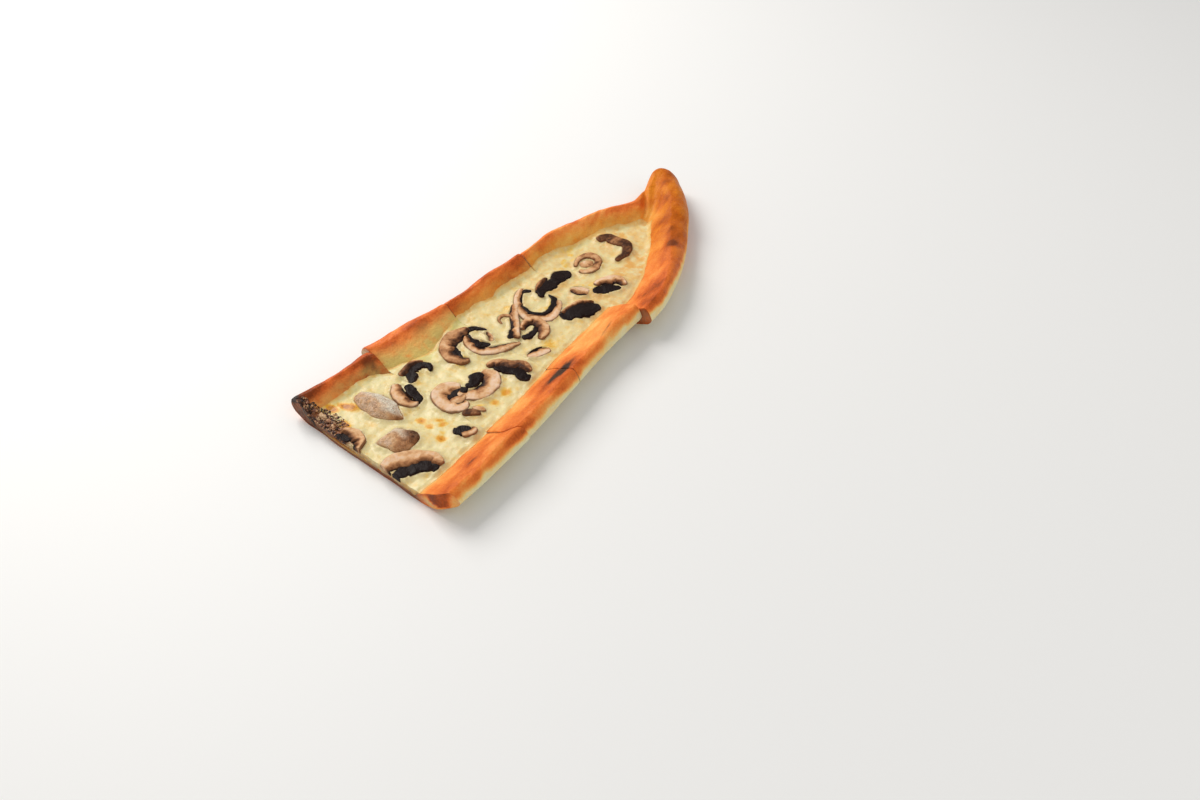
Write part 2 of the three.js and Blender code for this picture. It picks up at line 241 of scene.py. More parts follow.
@dataclass(frozen=True)
class Drawing:
    """Every measure of the bread and its filling, in millimetres."""

    base: float = 3.0
    cheese_level: float = 6.4
    cheese_lip: float = 0.9
    cheese_tip: float = 255.0
    rim_tail: float = 4.3
    tallest: float = 18.6
    edge_fall: float = 0.47
    top_rounds: tuple[float, float] = (3.2, 3.6)
    low_rounds: tuple[float, float] = (2.6, 2.8)
    knob: tuple[float, float] = (288.0, 303.0)
    nose: float = 11.0
    nose_middle: float = 9.0
    nose_least: float = 0.04
    nose_taper: float = 3.5
    left_rim: Rim = Rim(0.3, 0.68, 4.0, 12.0)
    right_rim: Rim = Rim(0.19, 0.76, 8.5, 22.0)
    hooks: tuple[Hook, ...] = (Hook(CUT_C, 48, 64, 8, 16), Hook(NEAR_END, 45, 61, 6, 13))
    left_edge: Track = Track(
        (
            (-1.5, -61.5), (6, -60), (25, -57.5), (49, -55.5), (75, -51.5), (105, -42.5), (130, -39.5),
            (169, -34.5), (198, -31), (215, -26.5), (233, -19), (251, -9), (264, -3.5), (278, -3.5),
            (291, -5.5), (300, -3), (306, 3),
        )
    )  # fmt: skip
    right_edge: Track = Track(
        (
            (-1.5, 58.5), (30, 60.5), (60, 62), (120, 61.6), (150, 63.3), (169, 65), (186, 65.5),
            (201, 63.3), (219, 59.3), (237, 53), (255, 45), (271.5, 37), (282.5, 30), (293, 21.5),
            (300, 15), (306, 8),
        )
    )  # fmt: skip
    left_ridge: Track = Track(
        ((-1.5, 15), (20, 13.5), (60, 13.5), (120, 14.5), (200, 15), (260, 15), (290, 17))
    )
    right_ridge: Track = Track(((-1.5, 16.5), (60, 17.5), (120, 17), (170, 18), (250, 18), (285, 20)))
    left_cheese_inset: Track = Track(
        (
            (-1.5, 15), (38, 14), (50, 21), (72, 26), (90, 19), (108, 12), (130, 14), (165, 13.5),
            (182, 11), (208, 17), (228, 14), (245, 15.5), (258, 15.5),
        )
    )  # fmt: skip
    right_cheese_inset: Track = Track(((-1.5, 23.2), (60, 23.5), (190, 24), (255, 26)))
    right_bake: Track = Track(
        (
            (0, 0.60), (42, 0.60), (60, 0.52), (100, 0.50), (125, 0.43), (164, 0.45), (175, 0.62),
            (205, 0.60), (265, 0.64),
        )
    )  # fmt: skip
    grain: Grain = Grain(11)

    def cut_y(self, s: Array, x: Array) -> Array:
        """Return the y that a station's slanted line has at x, with the bends in the right rim."""
        y = s + CUT_SLANT * x
        for hook in self.hooks:
            fade = np.exp(-(((s - hook.station) / hook.spread) ** 2))
            y = y + hook.reach * ease(x, hook.start, hook.end) * fade
        return y

    def edges(self, part: SliceSpan, s: Array) -> Edges:
        """Return a slice's outer edges at each station."""
        t = (s - part.near) / (part.far - part.near)
        slants = [(edge.at(s + 1) - edge.at(s - 1)) / 2 for edge in (self.left_edge, self.right_edge)]
        left = self.left_edge.at(s) + lerp(*part.left, t)
        right = self.right_edge.at(s) + lerp(*part.right, t)
        close = np.clip((TIP - s) / self.nose_taper, 0.0, 1.0)
        narrow = 0.5 * (right - left) * (1 - np.sqrt(close * (2 - close))) * 0.85
        return Edges(left + narrow, right - narrow, *(np.hypot(1, slant) for slant in slants))

    def insets(self, part: SliceSpan, x: Array, s: Array) -> tuple[Array, Array]:
        """Return each place's distance in from the left and from the right edge, square to them."""
        e = self.edges(part, s)
        left = np.clip((x - e.left) / e.left_stretch, 0.0, None)
        right = np.clip((e.right - x) / e.right_stretch, 0.0, None)
        return left, right

    def cheese_edges(self, part: SliceSpan, s: Array) -> tuple[Array, Array]:
        """Return where the cheese ends on the left and on the right."""
        e = self.edges(part, s)
        left = e.left + self.left_cheese_inset.at(s) * e.left_stretch
        return left, e.right - self.right_cheese_inset.at(s) * e.right_stretch

    def nose_round(self, s: Array) -> Array:
        """Return 1 along the bread, falling round to a blunt end at the tip."""
        t = np.clip((TIP - s) / self.nose, 0.0, 1.0)
        return lerp(self.nose_least, 1.0, np.sqrt(np.clip(1 - (1 - t) ** 2, 0.0, 1.0)))

    def edge_turn(
        self, part: SliceSpan, x: Array, s: Array, rounds: tuple[float, float], swell: float
    ) -> Array:
        """Return how far the skin has turned over towards the nearer outer edge, 1 at the edge.

        Args:
            part: the slice.
            x: place across the bread.
            s: station along it.
            rounds: widths of the turn at the left and the right edge.
            swell: how much wider both get at the knob.
        """
        blunt = 1 + swell * ease(s, *self.knob)
        left, right = self.insets(part, x, s)
        turns = quarter_round(left / (rounds[0] * blunt)), quarter_round(right / (rounds[1] * blunt))
        return np.maximum(*turns)

    def rises(self, part: SliceSpan, x: Array, s: Array) -> Array:
        """Return how high the two rims together stand over the base."""
        dl, dr = self.insets(part, x, s)
        tube = ease(s, 195, 250)
        left = self.left_rim.rise(dl, self.left_cheese_inset.at(s) + self.rim_tail)
        right = self.right_rim.rise(dr, self.right_cheese_inset.at(s) + self.rim_tail, tube)
        left = left * (self.left_ridge.at(s) - self.base)
        right = right * (self.right_ridge.at(s) - self.base)
        return (left**4 + right**4) ** 0.25

    def crease(self, x: Array, s: Array) -> Array:
        """Return the fold where the left rim is pressed against the right one near the tip."""
        along = ease(s, 246, 255) * (1 - ease(s, 274, 284))
        line = lerp(13.0, -1.0, (s - 253) / 27)
        return -2.6 * along * np.exp(-(((x - line) / 2.0) ** 2))

    def relief(self, x: Array, s: Array) -> Array:
        """Return the dents, swells and fine wrinkles of a hand-pulled, baked rim."""
        wave = 0.5 * np.sin(s / 9 + x / 17) + 0.35 * np.sin(s / 4.3 - x / 6 + 1.1)
        swells = 0.5 * self.grain.at(x, s, 0.0, 13.0) + 0.22 * self.grain.at(x, s, 7.0, 5.0)
        wrinkles = 0.16 * self.grain.at(x * 3.0, s * 0.6, 3.0, 6.0)
        pores = 0.07 * self.grain.at(x, s, 5.0, 1.7)
        return wave + swells + wrinkles + pores

    def bread_top(self, part: SliceSpan, x: Array, s: Array) -> Array:
        """Return the height of the bread's upper face, rounded over at both outer edges."""
        rise = self.rises(part, x, s)
        firm = np.clip(rise / 8, 0.0, 1.0)
        top = self.base + rise + (self.relief(x, s) + self.crease(x, s)) * firm
        over = np.clip(top - self.tallest, 0.0, None)
        top = top - over + over / (1 + over / 3.4)
        fall = self.edge_fall * self.edge_turn(part, x, s, self.top_rounds, 0.9)
        top = top - fall * (top - self.bread_low(part, x, s))
        return self.nose_middle + (top - self.nose_middle) * self.nose_round(s)

    def bread_low(self, part: SliceSpan, x: Array, s: Array) -> Array:
        """Return the height of the underside before its outer edges are rounded."""
        left, right = self.insets(part, x, s)
        return np.maximum(self.left_rim.underside(left), self.right_rim.underside(right))

    def bread_bottom(self, part: SliceSpan, x: Array, s: Array) -> Array:
        """Return the height of the underside, rounded up at both outer edges."""
        low = self.bread_low(part, x, s)
        top = self.base + self.rises(part, x, s)
        low = low + self.edge_fall * self.edge_turn(part, x, s, self.low_rounds, 1.2) * (top - low)
        return self.nose_middle + (low - self.nose_middle) * self.nose_round(s)

    def pool(self, x: Array, s: Array) -> Array:
        """Return the level of the melted cheese before its fine relief."""
        lumps = 0.4 * np.sin(x / 10 + 1.3) * np.cos(s / 12) + 0.25 * np.sin(x / 6 - s / 8 + 2)
        return self.cheese_level + lumps

    def filling_top(self, part: SliceSpan, x: Array, s: Array) -> Array:
        """Return the smooth face of the filling, running up into a lip on the rims."""
        pool = self.pool(x, s)
        lip = self.bread_top(part, x, s) + self.cheese_lip
        return (pool + lip + np.hypot(pool - lip, 1.0)) / 2


DRAWING = Drawing()


# ---------------------------------------------------------------- making meshes


@dataclass
class Skin:
    """A finished mesh's places in millimetres, with the named values that its finish reads."""

    x: Array
    y: Array
    z: Array
    values: dict[str, Array] = field(default_factory=dict)


Place = Callable[[Array, Array, Array], Skin]


def add_slab(mesh: bmesh.types.BMesh, columns: int, rows: int, layers: int, shift: float = 0.0) -> None:
    """Add a closed unit box of fine squares to a mesh.

    Args:
        mesh: the mesh that gets the box.
        columns: squares along x.
        rows: squares along y.
        layers: squares up each side.
        shift: where the box starts along x; on y and z it lies between 0 and 1.
    """
    spot = Matrix.Translation((shift + 0.5, 0.5, 0.0))
    grid = bmesh.ops.create_grid(mesh, x_segments=columns, y_segments=rows, size=0.5, matrix=spot)
    faces = list({face for vert in grid["verts"] for face in vert.link_faces})
    lifted = bmesh.ops.extrude_face_region(mesh, geom=faces)
    raised = [item for item in lifted["geom"] if isinstance(item, bmesh.types.BMVert)]
    bmesh.ops.translate(mesh, vec=(0, 0, 1), verts=raised)
    uprights = {e for v in raised for e in v.link_edges if abs(e.verts[0].co.z - e.verts[1].co.z) > 0.5}
    if layers > 1:
        bmesh.ops.subdivide_edges(mesh, edges=list(uprights), cuts=layers - 1, use_grid_fill=True)


def bend_boxes(
    name: str, mesh: bmesh.types.BMesh, places: Sequence[Place], keys: Sequence[str]
) -> bpy.types.Mesh:
    """Bend the unit boxes of a mesh into the shapes of a piece.

    Args:
        name: name of the new mesh data.
        mesh: the boxes, two apart along x, which is freed.
        places: for each box, gives the skin of its points u, v and w.
        keys: names of the values that the finish reads.

    Returns:
        The mesh, in metres in the part's frame.
    """
    bmesh.ops.recalc_face_normals(mesh, faces=mesh.faces[:])
    data = bpy.data.meshes.new(name)
    mesh.to_mesh(data)
    mesh.free()
    points = np.empty(len(data.vertices) * 3)
    data.vertices.foreach_get("co", points)
    points = points.reshape(-1, 3)
    boxes = np.floor(points[:, 0] / 2 + 0.25).astype(int)
    values = {key: np.zeros(len(points), np.float32) for key in keys}
    for k, place in enumerate(places):
        own = boxes == k
        u, v, w = np.clip(points[own] - (2.0 * k, 0.0, 0.0), 0.0, 1.0).T
        skin = place(u, v, w)
        points[own] = np.stack([skin.x - MIDDLE[0], skin.y - MIDDLE[1], skin.z], axis=1) * MM
        for key, amount in skin.values.items():
            values[key][own] = np.clip(amount, 0.0, 1.0)
    data.vertices.foreach_set("co", points.ravel())
    for key, amount in values.items():
        data.attributes.new(key, "FLOAT", "POINT").data.foreach_set("value", amount)
    data.update()
    return data


def finish_piece(
    name: str,
    data: bpy.types.Mesh,
    material: bpy.types.Material,
    nodes: Sequence[str] = (),
    sharp: float = 60.0,
) -> bpy.types.Object:
    """Put a finished mesh into the scene as a piece of the part.

    Args:
        name: the piece's name.
        data: its mesh.
        material: its finish.
        nodes: the solids that it stands for.
        sharp: faces that meet at more than this many degrees keep a sharp edge.

    Returns:
        The new object.
    """
    data.materials.append(material)
    data.shade_smooth()
    data.set_sharp_from_angle(angle=math.radians(sharp))
    piece = bpy.data.objects.new(name, data)
    bpy.context.scene.collection.objects.link(piece)
    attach(piece, "root")
    if nodes:
        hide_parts(*nodes)
    log.info("%s: %d faces", name, len(data.polygons))
    return piece


# ---------------------------------------------------------------- finishes


class Recipe:
    """A material's nodes under construction."""

    def __init__(self, name: str) -> None:
        """Start a material of this name with its shader in place."""
        self.material = bpy.data.materials.new(name)
        self.material.use_nodes = True
        self.tree = self.material.node_tree
        self.tree.nodes.clear()
        self.shader = self.tree.nodes.new("ShaderNodeBsdfPrincipled")
        output = self.tree.nodes.new("ShaderNodeOutputMaterial")
        self.tree.links.new(self.shader.outputs["BSDF"], output.inputs["Surface"])
        self.place = self.tree.nodes.new("ShaderNodeTexCoord").outputs["Object"]

    def feed(self, socket: Socket, value: object) -> None:
        """Link a socket to another node's output, or set its own value."""
        if isinstance(value, Socket):
            self.tree.links.new(value, socket)
        elif isinstance(value, tuple) and len(value) == 3 and socket.type == "RGBA":
            socket.default_value = (*value, 1.0)
        else:
            socket.default_value = value

    def value(self, name: str) -> Socket:
        """Return the piece's own named value."""
        node = self.tree.nodes.new("ShaderNodeAttribute")
        node.attribute_name = name
        return node.outputs["Fac"]

    def noise(
        self, size: float, detail: float = 3.0, stretch: Triple = (1, 1, 1), warp: float = 0.0
    ) -> Socket:
        """Return random blotches.

        Args:
            size: their size in millimetres.
            detail: how many finer layers are added.
            stretch: how much longer they are along x, y and z.
            warp: how much they are twisted.

        Returns:
            A value around 0.5.
        """
        mapping = self.tree.nodes.new("ShaderNodeMapping")
        self.feed(mapping.inputs["Vector"], self.place)
        mapping.inputs["Scale"].default_value = tuple(1.0 / (size * MM * k) for k in stretch)
        node = self.tree.nodes.new("ShaderNodeTexNoise")
        self.feed(node.inputs["Vector"], mapping.outputs["Vector"])
        node.inputs["Scale"].default_value = 1.0
        node.inputs["Detail"].default_value = detail
        node.inputs["Distortion"].default_value = warp
        return node.outputs["Fac"]

    def cells(self, size: float) -> Socket:
        """Return the distance from the nearest of many scattered points, size mm apart."""
        node = self.tree.nodes.new("ShaderNodeTexVoronoi")
        self.feed(node.inputs["Vector"], self.place)
        node.inputs["Scale"].default_value = 1.0 / (size * MM)
        return node.outputs["Distance"]

    def sum(self, kind: str, a: object, b: object = 0.0, c: object = 0.0) -> Socket:
        """Return the result of one sum on values, such as ADD or MULTIPLY_ADD, kept in 0 to 1."""
        node = self.tree.nodes.new("ShaderNodeMath")
        node.operation = kind
        node.use_clamp = True
        for socket, value in zip(node.inputs, (a, b, c)):
            self.feed(socket, value)
        return node.outputs[0]

    def plus(self, base: object, amount: float, value: object) -> Socket:
        """Return a base with an amount of another value added, kept in 0 to 1."""
        return self.sum("MULTIPLY_ADD", value, amount, base)

    def span(self, value: object, low: float, high: float) -> Socket:
        """Return a value spread smoothly so that low becomes 0 and high becomes 1."""
        node = self.tree.nodes.new("ShaderNodeMapRange")
        node.interpolation_type = "SMOOTHSTEP"
        self.feed(node.inputs["Value"], value)
        node.inputs["From Min"].default_value = low
        node.inputs["From Max"].default_value = high
        return node.outputs["Result"]

    def patchy(self, name: str, size: float, low: float, high: float) -> Socket:
        """Return the piece's own named value, broken up by blotches of a size in mm."""
        return self.sum("MULTIPLY", self.value(name), self.span(self.noise(size), low, high))

    def ramp(self, value: object, stops: Sequence[tuple[float, Colour]]) -> Socket:
        """Return the colour that a value has on a scale of stops."""
        node = self.tree.nodes.new("ShaderNodeValToRGB")
        self.feed(node.inputs["Fac"], value)
        scale = node.color_ramp.elements
        while len(scale) < len(stops):
            scale.new(0.5)
        for element, (position, colour) in zip(scale, stops):
            element.position = position
            element.color = (*colour, 1.0)
        return node.outputs["Color"]

    def mix(self, amount: object, a: object, b: object) -> Socket:
        """Return colour a mixed towards colour b."""
        node = self.tree.nodes.new("ShaderNodeMix")
        node.data_type = "RGBA"
        for k, value in ((0, amount), (6, a), (7, b)):
            self.feed(node.inputs[k], value)
        return node.outputs[2]

    def bump(self, height: object, depth: float, before: object = None) -> Socket:
        """Return the normal of a relief whose full height is depth millimetres."""
        node = self.tree.nodes.new("ShaderNodeBump")
        node.inputs["Strength"].default_value = 1.0
        node.inputs["Distance"].default_value = depth * MM
        self.feed(node.inputs["Height"], height)
        if before is not None:
            self.feed(node.inputs["Normal"], before)
        return node.outputs["Normal"]

    def dress(self, **sockets: object) -> bpy.types.Material:
        """Set or link the shader's sockets and return the material."""
        for name, value in sockets.items():
            self.feed(self.shader.inputs[name.replace("_", " ")], value)
        return self.material


@dataclass(frozen=True)
class Softness:
    """How much light a food reflects and lets in, and how deep red, green and blue go in metres."""

    shine: float
    glow: float
    depths: Triple

    def sockets(self) -> dict[str, object]:
        """Return the shader's settings."""
        return {
            "Specular_IOR_Level": self.shine,
            "Subsurface_Weight": self.glow,
            "Subsurface_Radius": self.depths,
            "Subsurface_Scale": 1.0,
        }


@dataclass(frozen=True)
class BakedCrust:
    """Bread: pale where unbaked, through gold and orange to brown, with scorched and oily places."""

    stops: Stops = (
        (0.0, (0.78, 0.74, 0.46)),
        (0.17, (0.90, 0.62, 0.23)),
        (0.34, (0.93, 0.39, 0.10)),
        (0.50, (0.86, 0.21, 0.040)),
        (0.66, (0.60, 0.11, 0.018)),
        (0.82, (0.27, 0.05, 0.008)),
        (1.0, (0.05, 0.018, 0.009)),
    )
    golden: Stops = (
        (0.1, (0.94, 0.50, 0.085)),
        (0.38, (0.82, 0.27, 0.016)),
        (0.62, (0.53, 0.115, 0.003)),
        (0.9, (0.17, 0.035, 0.002)),
    )
    oily: Colour = (0.68, 0.52, 0.16)
    crumb: Colour = (0.72, 0.60, 0.38)
    holes: Colour = (0.50, 0.36, 0.18)
    scorch: Colour = (0.03, 0.018, 0.014)
    softness: Softness = Softness(0.1, 0.04, (0.004, 0.002, 0.001))

    def material(self) -> bpy.types.Material:
        """Return the material."""
        r = Recipe("baked_crust")
        patches = r.span(r.noise(9.0, 2.5, (1.0, 1.6, 1.0)), 0.28, 0.72)
        streaks = r.span(r.noise(3.2, 3.0, (1.0, 1.5, 1.0)), 0.3, 0.7)
        specks = r.span(r.noise(1.0), 0.36, 0.66)
        baked = r.value("bake")
        for amount, marks_of_heat in ((0.16, patches), (0.035, streaks), (0.06, specks)):
            baked = r.plus(baked, amount, marks_of_heat)
        baked = r.sum("SUBTRACT", baked, 0.128)
        colour = r.mix(r.value("gold"), r.ramp(baked, self.stops), r.ramp(baked, self.golden))
        oil = r.patchy("oil", 7.0, 0.2, 0.6)
        crumb = r.mix(r.span(r.noise(1.0), 0.36, 0.56), self.holes, self.crumb)
        burnt = r.span(r.plus(r.value("char"), 0.7, r.noise(3.0, 4.0, (1.0, 2.4, 1.0))), 0.55, 1.05)
        for amount, tint in ((oil, self.oily), (r.value("crumb"), crumb), (burnt, self.scorch)):
            colour = r.mix(amount, colour, tint)
        blisters = r.bump(r.noise(2.6, 5.0, (1.0, 1.3, 1.0)), 0.55, r.bump(specks, 0.07))
        gloss = r.plus(r.plus(0.30, 0.3, r.noise(3.0, 2.0)), -0.2, oil)
        return r.dress(Base_Color=colour, Roughness=gloss, Normal=blisters, **self.softness.sockets())


@dataclass(frozen=True)
class MeltedCheese:
    """Cheese: cream, lumpy and glossy, toasted in spots and greenish with oil by the left rim."""

    pale: Colour = (0.77, 0.66, 0.34)
    warm: Colour = (0.77, 0.52, 0.15)
    oily: Colour = (0.60, 0.55, 0.16)
    # golden of thin cheese over the rims, also used as painted shade on the near cut face
    thin: Colour = (0.76, 0.42, 0.10)
    halo: Colour = (0.79, 0.51, 0.10)
    toast: Colour = (0.70, 0.30, 0.012)
    amber: Colour = (0.46, 0.15, 0.008)
    # brown round each mushroom, and painted shade at the bottom of the near cut face
    ring_and_shade_brown: Colour = (0.34, 0.21, 0.10)
    older: Colour = (0.74, 0.40, 0.10)
    scorched: Colour = (0.24, 0.075, 0.018)
    burnt: Colour = (0.045, 0.020, 0.012)
    softness: Softness = Softness(0.3, 0.12, (0.004, 0.003, 0.0012))

    def material(self) -> bpy.types.Material:
        """Return the material."""
        r = Recipe("melted_cheese")
        lumps = r.plus(r.sum("MULTIPLY", r.noise(6.0, 4.0), 0.68), 0.32, r.noise(2.4))
        toast = r.plus(r.value("toast"), 0.6, r.noise(1.8, 4.0))
        darkest = r.span(r.value("toast"), 0.9, 1.0)
        scorched = r.plus(r.value("char"), 1.0, r.noise(1.7, 4.0))
        colour = r.mix(r.span(lumps, 0.46, 0.72), self.pale, self.warm)
        for amount, tint in (
            (r.patchy("far", 5.0, 0.34, 0.64), self.older),
            (r.patchy("oil", 9.0, 0.3, 0.65), self.oily),
            # golden where the cheese runs thin over the rims, and painted shade on the near cut face
            (r.patchy("thin", 4.0, 0.25, 0.55), self.thin),
            # darker round each mushroom, and painted shade at the bottom of the near cut face
            (r.patchy("stain", 2.2, 0.2, 0.7), self.ring_and_shade_brown),
            (r.span(toast, 0.38, 0.8), self.halo),
            (r.span(toast, 0.64, 1.02), self.toast),
            (r.sum("MULTIPLY", darkest, r.span(r.noise(2.2), 0.25, 0.6)), self.amber),
            (r.span(scorched, 0.62, 0.95), self.scorched),
            (r.span(r.value("char"), 0.7, 1.0), self.burnt),
        ):
            colour = r.mix(amount, colour, tint)
        lumpy = r.bump(r.noise(4.0), 0.35, r.bump(r.noise(1.3), 0.1))
        gloss = r.plus(0.26, 0.26, r.noise(4.0, 2.0))
        return r.dress(Base_Color=colour, Roughness=gloss, Normal=lumpy, **self.softness.sockets())


@dataclass(frozen=True)
class CookedMushroom:
    """Mushroom: pinkish-tan flesh, a thin brown skin, wet black gills and mealy cap tops."""

    stops: Stops = (
        (0.0, (0.80, 0.57, 0.40)),
        (0.25, (0.72, 0.43, 0.22)),
        (0.5, (0.50, 0.235, 0.10)),
        (0.75, (0.20, 0.080, 0.032)),
        (1.0, (0.06, 0.024, 0.013)),
    )
    skin: Colour = (0.16, 0.06, 0.025)
    meal: Colour = (0.79, 0.71, 0.57)
    hollow: Colour = (0.28, 0.15, 0.085)
    gill: Colour = (0.003, 0.002, 0.003)
    rind: Colour = (0.030, 0.013, 0.009)
    grain_size: float = 0.58
    softness: Softness = Softness(0.06, 0.06, (0.003, 0.0015, 0.001))

    def material(self) -> bpy.types.Material:
        """Return the material."""
        r = Recipe("cooked_mushroom")
        mottle = r.span(r.noise(2.4, 4.0, warp=0.5), 0.34, 0.7)
        colour = r.ramp(r.plus(r.sum("SUBTRACT", r.value("tone"), 0.12), 0.24, mottle), self.stops)
        mealy, gill = r.value("mealy"), r.value("gill")
        between_grains = r.span(r.cells(self.grain_size), 0.3, 0.72)
        hollows = r.sum("MULTIPLY", between_grains, r.span(mealy, 0.05, 0.35))
        worn = r.sum("MULTIPLY", hollows, r.span(r.noise(3.5, 2.0), 0.25, 0.8))
        wet = r.span(r.plus(gill, 0.5, r.noise(1.0)), 0.75, 1.15)
        for amount, tint in (
            (r.span(mealy, 0.4, 0.95), self.meal),
            (worn, self.hollow),
            (r.value("skin"), self.skin),
            (r.span(gill, 0.1, 0.5), r.mix(wet, self.rind, self.gill)),
        ):
            colour = r.mix(amount, colour, tint)
        wrinkled = r.bump(r.noise(2.2, 2.0), 0.3, r.bump(hollows, -0.16, r.bump(r.noise(0.8), 0.14)))
        gloss = r.plus(r.plus(0.38, 0.2, r.noise(1.5, 2.0)), -0.08, gill)
        return r.dress(Base_Color=colour, Roughness=gloss, Normal=wrinkled, **self.softness.sockets())


@dataclass(frozen=True)
class BurntCrumb:
    """Crumbs: mostly black and brown, a few cream."""

    stops: Stops = (
        (0.15, (0.035, 0.014, 0.008)),
        (0.4, (0.18, 0.055, 0.025)),
        (0.65, (0.44, 0.19, 0.08)),
        (0.85, (0.66, 0.50, 0.27)),
    )

    def material(self) -> bpy.types.Material:
        """Return the material."""
        r = Recipe("burnt_crumb")
        shade = r.plus(r.value("tone"), 0.5, r.span(r.noise(1.1), 0.3, 0.7))
        colour = r.ramp(r.sum("SUBTRACT", shade, 0.25), self.stops)
        return r.dress(Base_Color=colour, Roughness=0.5, Normal=r.bump(r.noise(0.6, 2.0), 0.2))


# ---------------------------------------------------------------- mushrooms


class Tissue(Enum):
    """What a strand of mushroom is made of."""

    FLESH = "flesh"
    GILLS = "gills"
    CAP = "cap"


FLESH, GILLS, CAP = Tissue.FLESH, Tissue.GILLS, Tissue.CAP
OUTLINE_ROUGHNESS = {FLESH: (0.06, 0.14), GILLS: (0.24, 0.22), CAP: (0.03, 0.10)}  # teeth, swells
END_ROUND = 1.6  # length over which a strand narrows at its ends
TUCK = 1.8  # how far flesh slopes on under its gills
COMB = 0.9  # spacing of the gills
DOME = 6.0  # how far in from its edge a cap goes on rising
OUTLINE_POINTS = 22
NEAR_ENOUGH = 9.0  # how far from a mushroom the cheese still takes note of it


@dataclass(frozen=True)
class Strand:
    """One strand of a mushroom slice, with rounded ends, along a curved middle line.

    Each point of the line has an x, a y and the strand's width there, in millimetres. Flesh leans
    to the side, 1 or -1, on which it slopes down to its gills.
    """

    tissue: Tissue
    line: tuple[tuple[float, float, float], ...]
    tone: float = 0.3
    thick: float = 2.4
    sink: float = 1.2
    white: float = 1.0
    lean: float = 0.0

    @property
    def grain(self) -> Grain:
        """Return the strand's own random relief."""
        return Grain(int(100 + abs(self.line[0][0] * 7 + self.line[0][1] * 13)))

    def _middle(self, u: Array) -> tuple[Array, Array, Array, float]:
        """Return the middle line's x and y, its width, and its length."""
        points = np.array(self.line, dtype=float)
        steps = np.hypot(*np.diff(points[:, :2], axis=0).T)
        along = np.concatenate([[0.0], np.cumsum(steps)])
        x, y, width = (Track(tuple(zip(along, column))).at(u * along[-1]) for column in points.T)
        return x, y, np.clip(width, 0.3, None), float(along[-1])

    def plan(self, u: Array, v: Array) -> tuple[Array, Array, Array, float]:
        """Return x, y, the distance in from the strand's edge, and the strand's length.

        Args:
            u: place along the strand, 0 to 1.
            v: place across it, 0 to 1.
        """
        x, y, width, length = self._middle(u)
        ahead, behind = (self._middle(np.clip(u + step, 0, 1)) for step in (0.01, -0.01))
        dx, dy = ahead[0] - behind[0], ahead[1] - behind[1]
        norm = np.hypot(dx, dy) + 1e-9
        ends = np.minimum(u, 1 - u) * length
        round_off = np.sqrt(np.clip(1 - (1 - np.clip(ends / END_ROUND, 0, 1)) ** 2, 0, 1))
        side = 2 * v - 1
        teeth, swell = OUTLINE_ROUGHNESS[self.tissue]
        rough = 1 + swell * self.grain.at(u * length, np.sign(side) * 9, 0.0, 5.0)
        rough = rough + teeth * self.grain.at(u * length, np.sign(side) * 9, 5.0, 1.5)
        half = width / 2 * round_off * rough * (1.15 if self.tissue is GILLS else 1.0)
        half = half + TUCK * np.clip(side * self.lean, 0.0, 1.0) * round_off
        inside = (1 - np.abs(side)) * half
        x, y = x - dy / norm * side * half, y + dx / norm * side * half
        return x, y, np.minimum(inside, ends), length

    def outline(self) -> Array:
        """Return the strand's outline as points of the drawing."""
        t = np.linspace(0, 1, OUTLINE_POINTS)
        x, y, _, _ = self.plan(np.concatenate([t, 1 - t]), np.repeat([0.0, 1.0], OUTLINE_POINTS))
        return np.stack([x, y], axis=1)

    def skin(self, part: SliceSpan, u: Array, v: Array, w: Array) -> Skin:
        """Return the strand's surface, laid on the filling of a slice.

        Args:
            part: the slice that carries it.
            u: place along the strand, 0 to 1.
            v: place across it, 0 to 1.
            w: place up it, 0 to 1.
        """
        x, y, inside, length = self.plan(u, v)
        grain = self.grain
        face = {FLESH: self._flesh, GILLS: self._gills, CAP: self._cap}[self.tissue]
        even = lerp(0.5, v, ease(np.minimum(u, 1 - u) * length, 0.0, 1.0))
        top, values = face(u * length, even, inside)
        top = top * (1 + 0.08 * grain.at(x, y, 0.0, 2.0)) + 0.5 * grain.at(x, y, 3.0, 11.0)
        top = np.maximum(top, 0.15)
        z = DRAWING.filling_top(part, x, y - CUT_SLANT * x) - self.sink + (top + self.sink) * w
        side = 1 - ease(w, 0.4, 0.95)
        # dark carries the flesh's browning towards its gills, and the painted shade along a cap piece
        tone = self.tone + 0.22 * grain.at(x, y, 9.0, 6.0) + 0.12 * side + values.pop("dark", 0.0)
        return Skin(x, y, z, {"tone": tone, **values})

    def _flesh(self, along: Array, v: Array, inside: Array) -> tuple[Array, dict[str, Array]]:
        """Return the height and finish of sliced flesh, browned at its edge and towards its gills."""
        lean = (2 * v - 1) * self.lean + 0.25 * self.grain.at(along, v * 3, 4.0, 2.5)
        top = 0.84 * self.thick - 0.9 * quarter_round(inside / 1.5)
        top = top - 0.45 * self.thick * ease(lean, 0.35, 1.0)
        edge = 1 - ease(inside + 0.35 * self.grain.at(along, v * 4, 7.0, 2.5), 0.1, 0.75)
        gill = 0.8 * ease(lean, 0.6, 0.98)
        return top, {"skin": 0.8 * edge, "dark": 0.62 * ease(lean, -0.2, 0.8), "gill": gill}

    def _gills(self, along: Array, v: Array, inside: Array) -> tuple[Array, dict[str, Array]]:
        """Return the height and finish of gills, combed across the strand."""
        comb = np.sin(along * 2 * math.pi / COMB + 3.0 * self.grain.at(along, v * 3, 7.0, 2.0))
        lump = 0.154 * self.grain.at(along, v * 6, 11.0, 3.5)
        top = self.thick * 0.5 - 0.9 * quarter_round(inside / 1.1) + lump
        top = top + 0.045 * comb * ease(inside, 0.2, 0.9)
        ragged = inside + 0.6 * self.grain.at(along, v * 6, 2.0, 1.6)
        return top, {"gill": 0.5 + 0.5 * ease(ragged, 0.1, 1.0)}

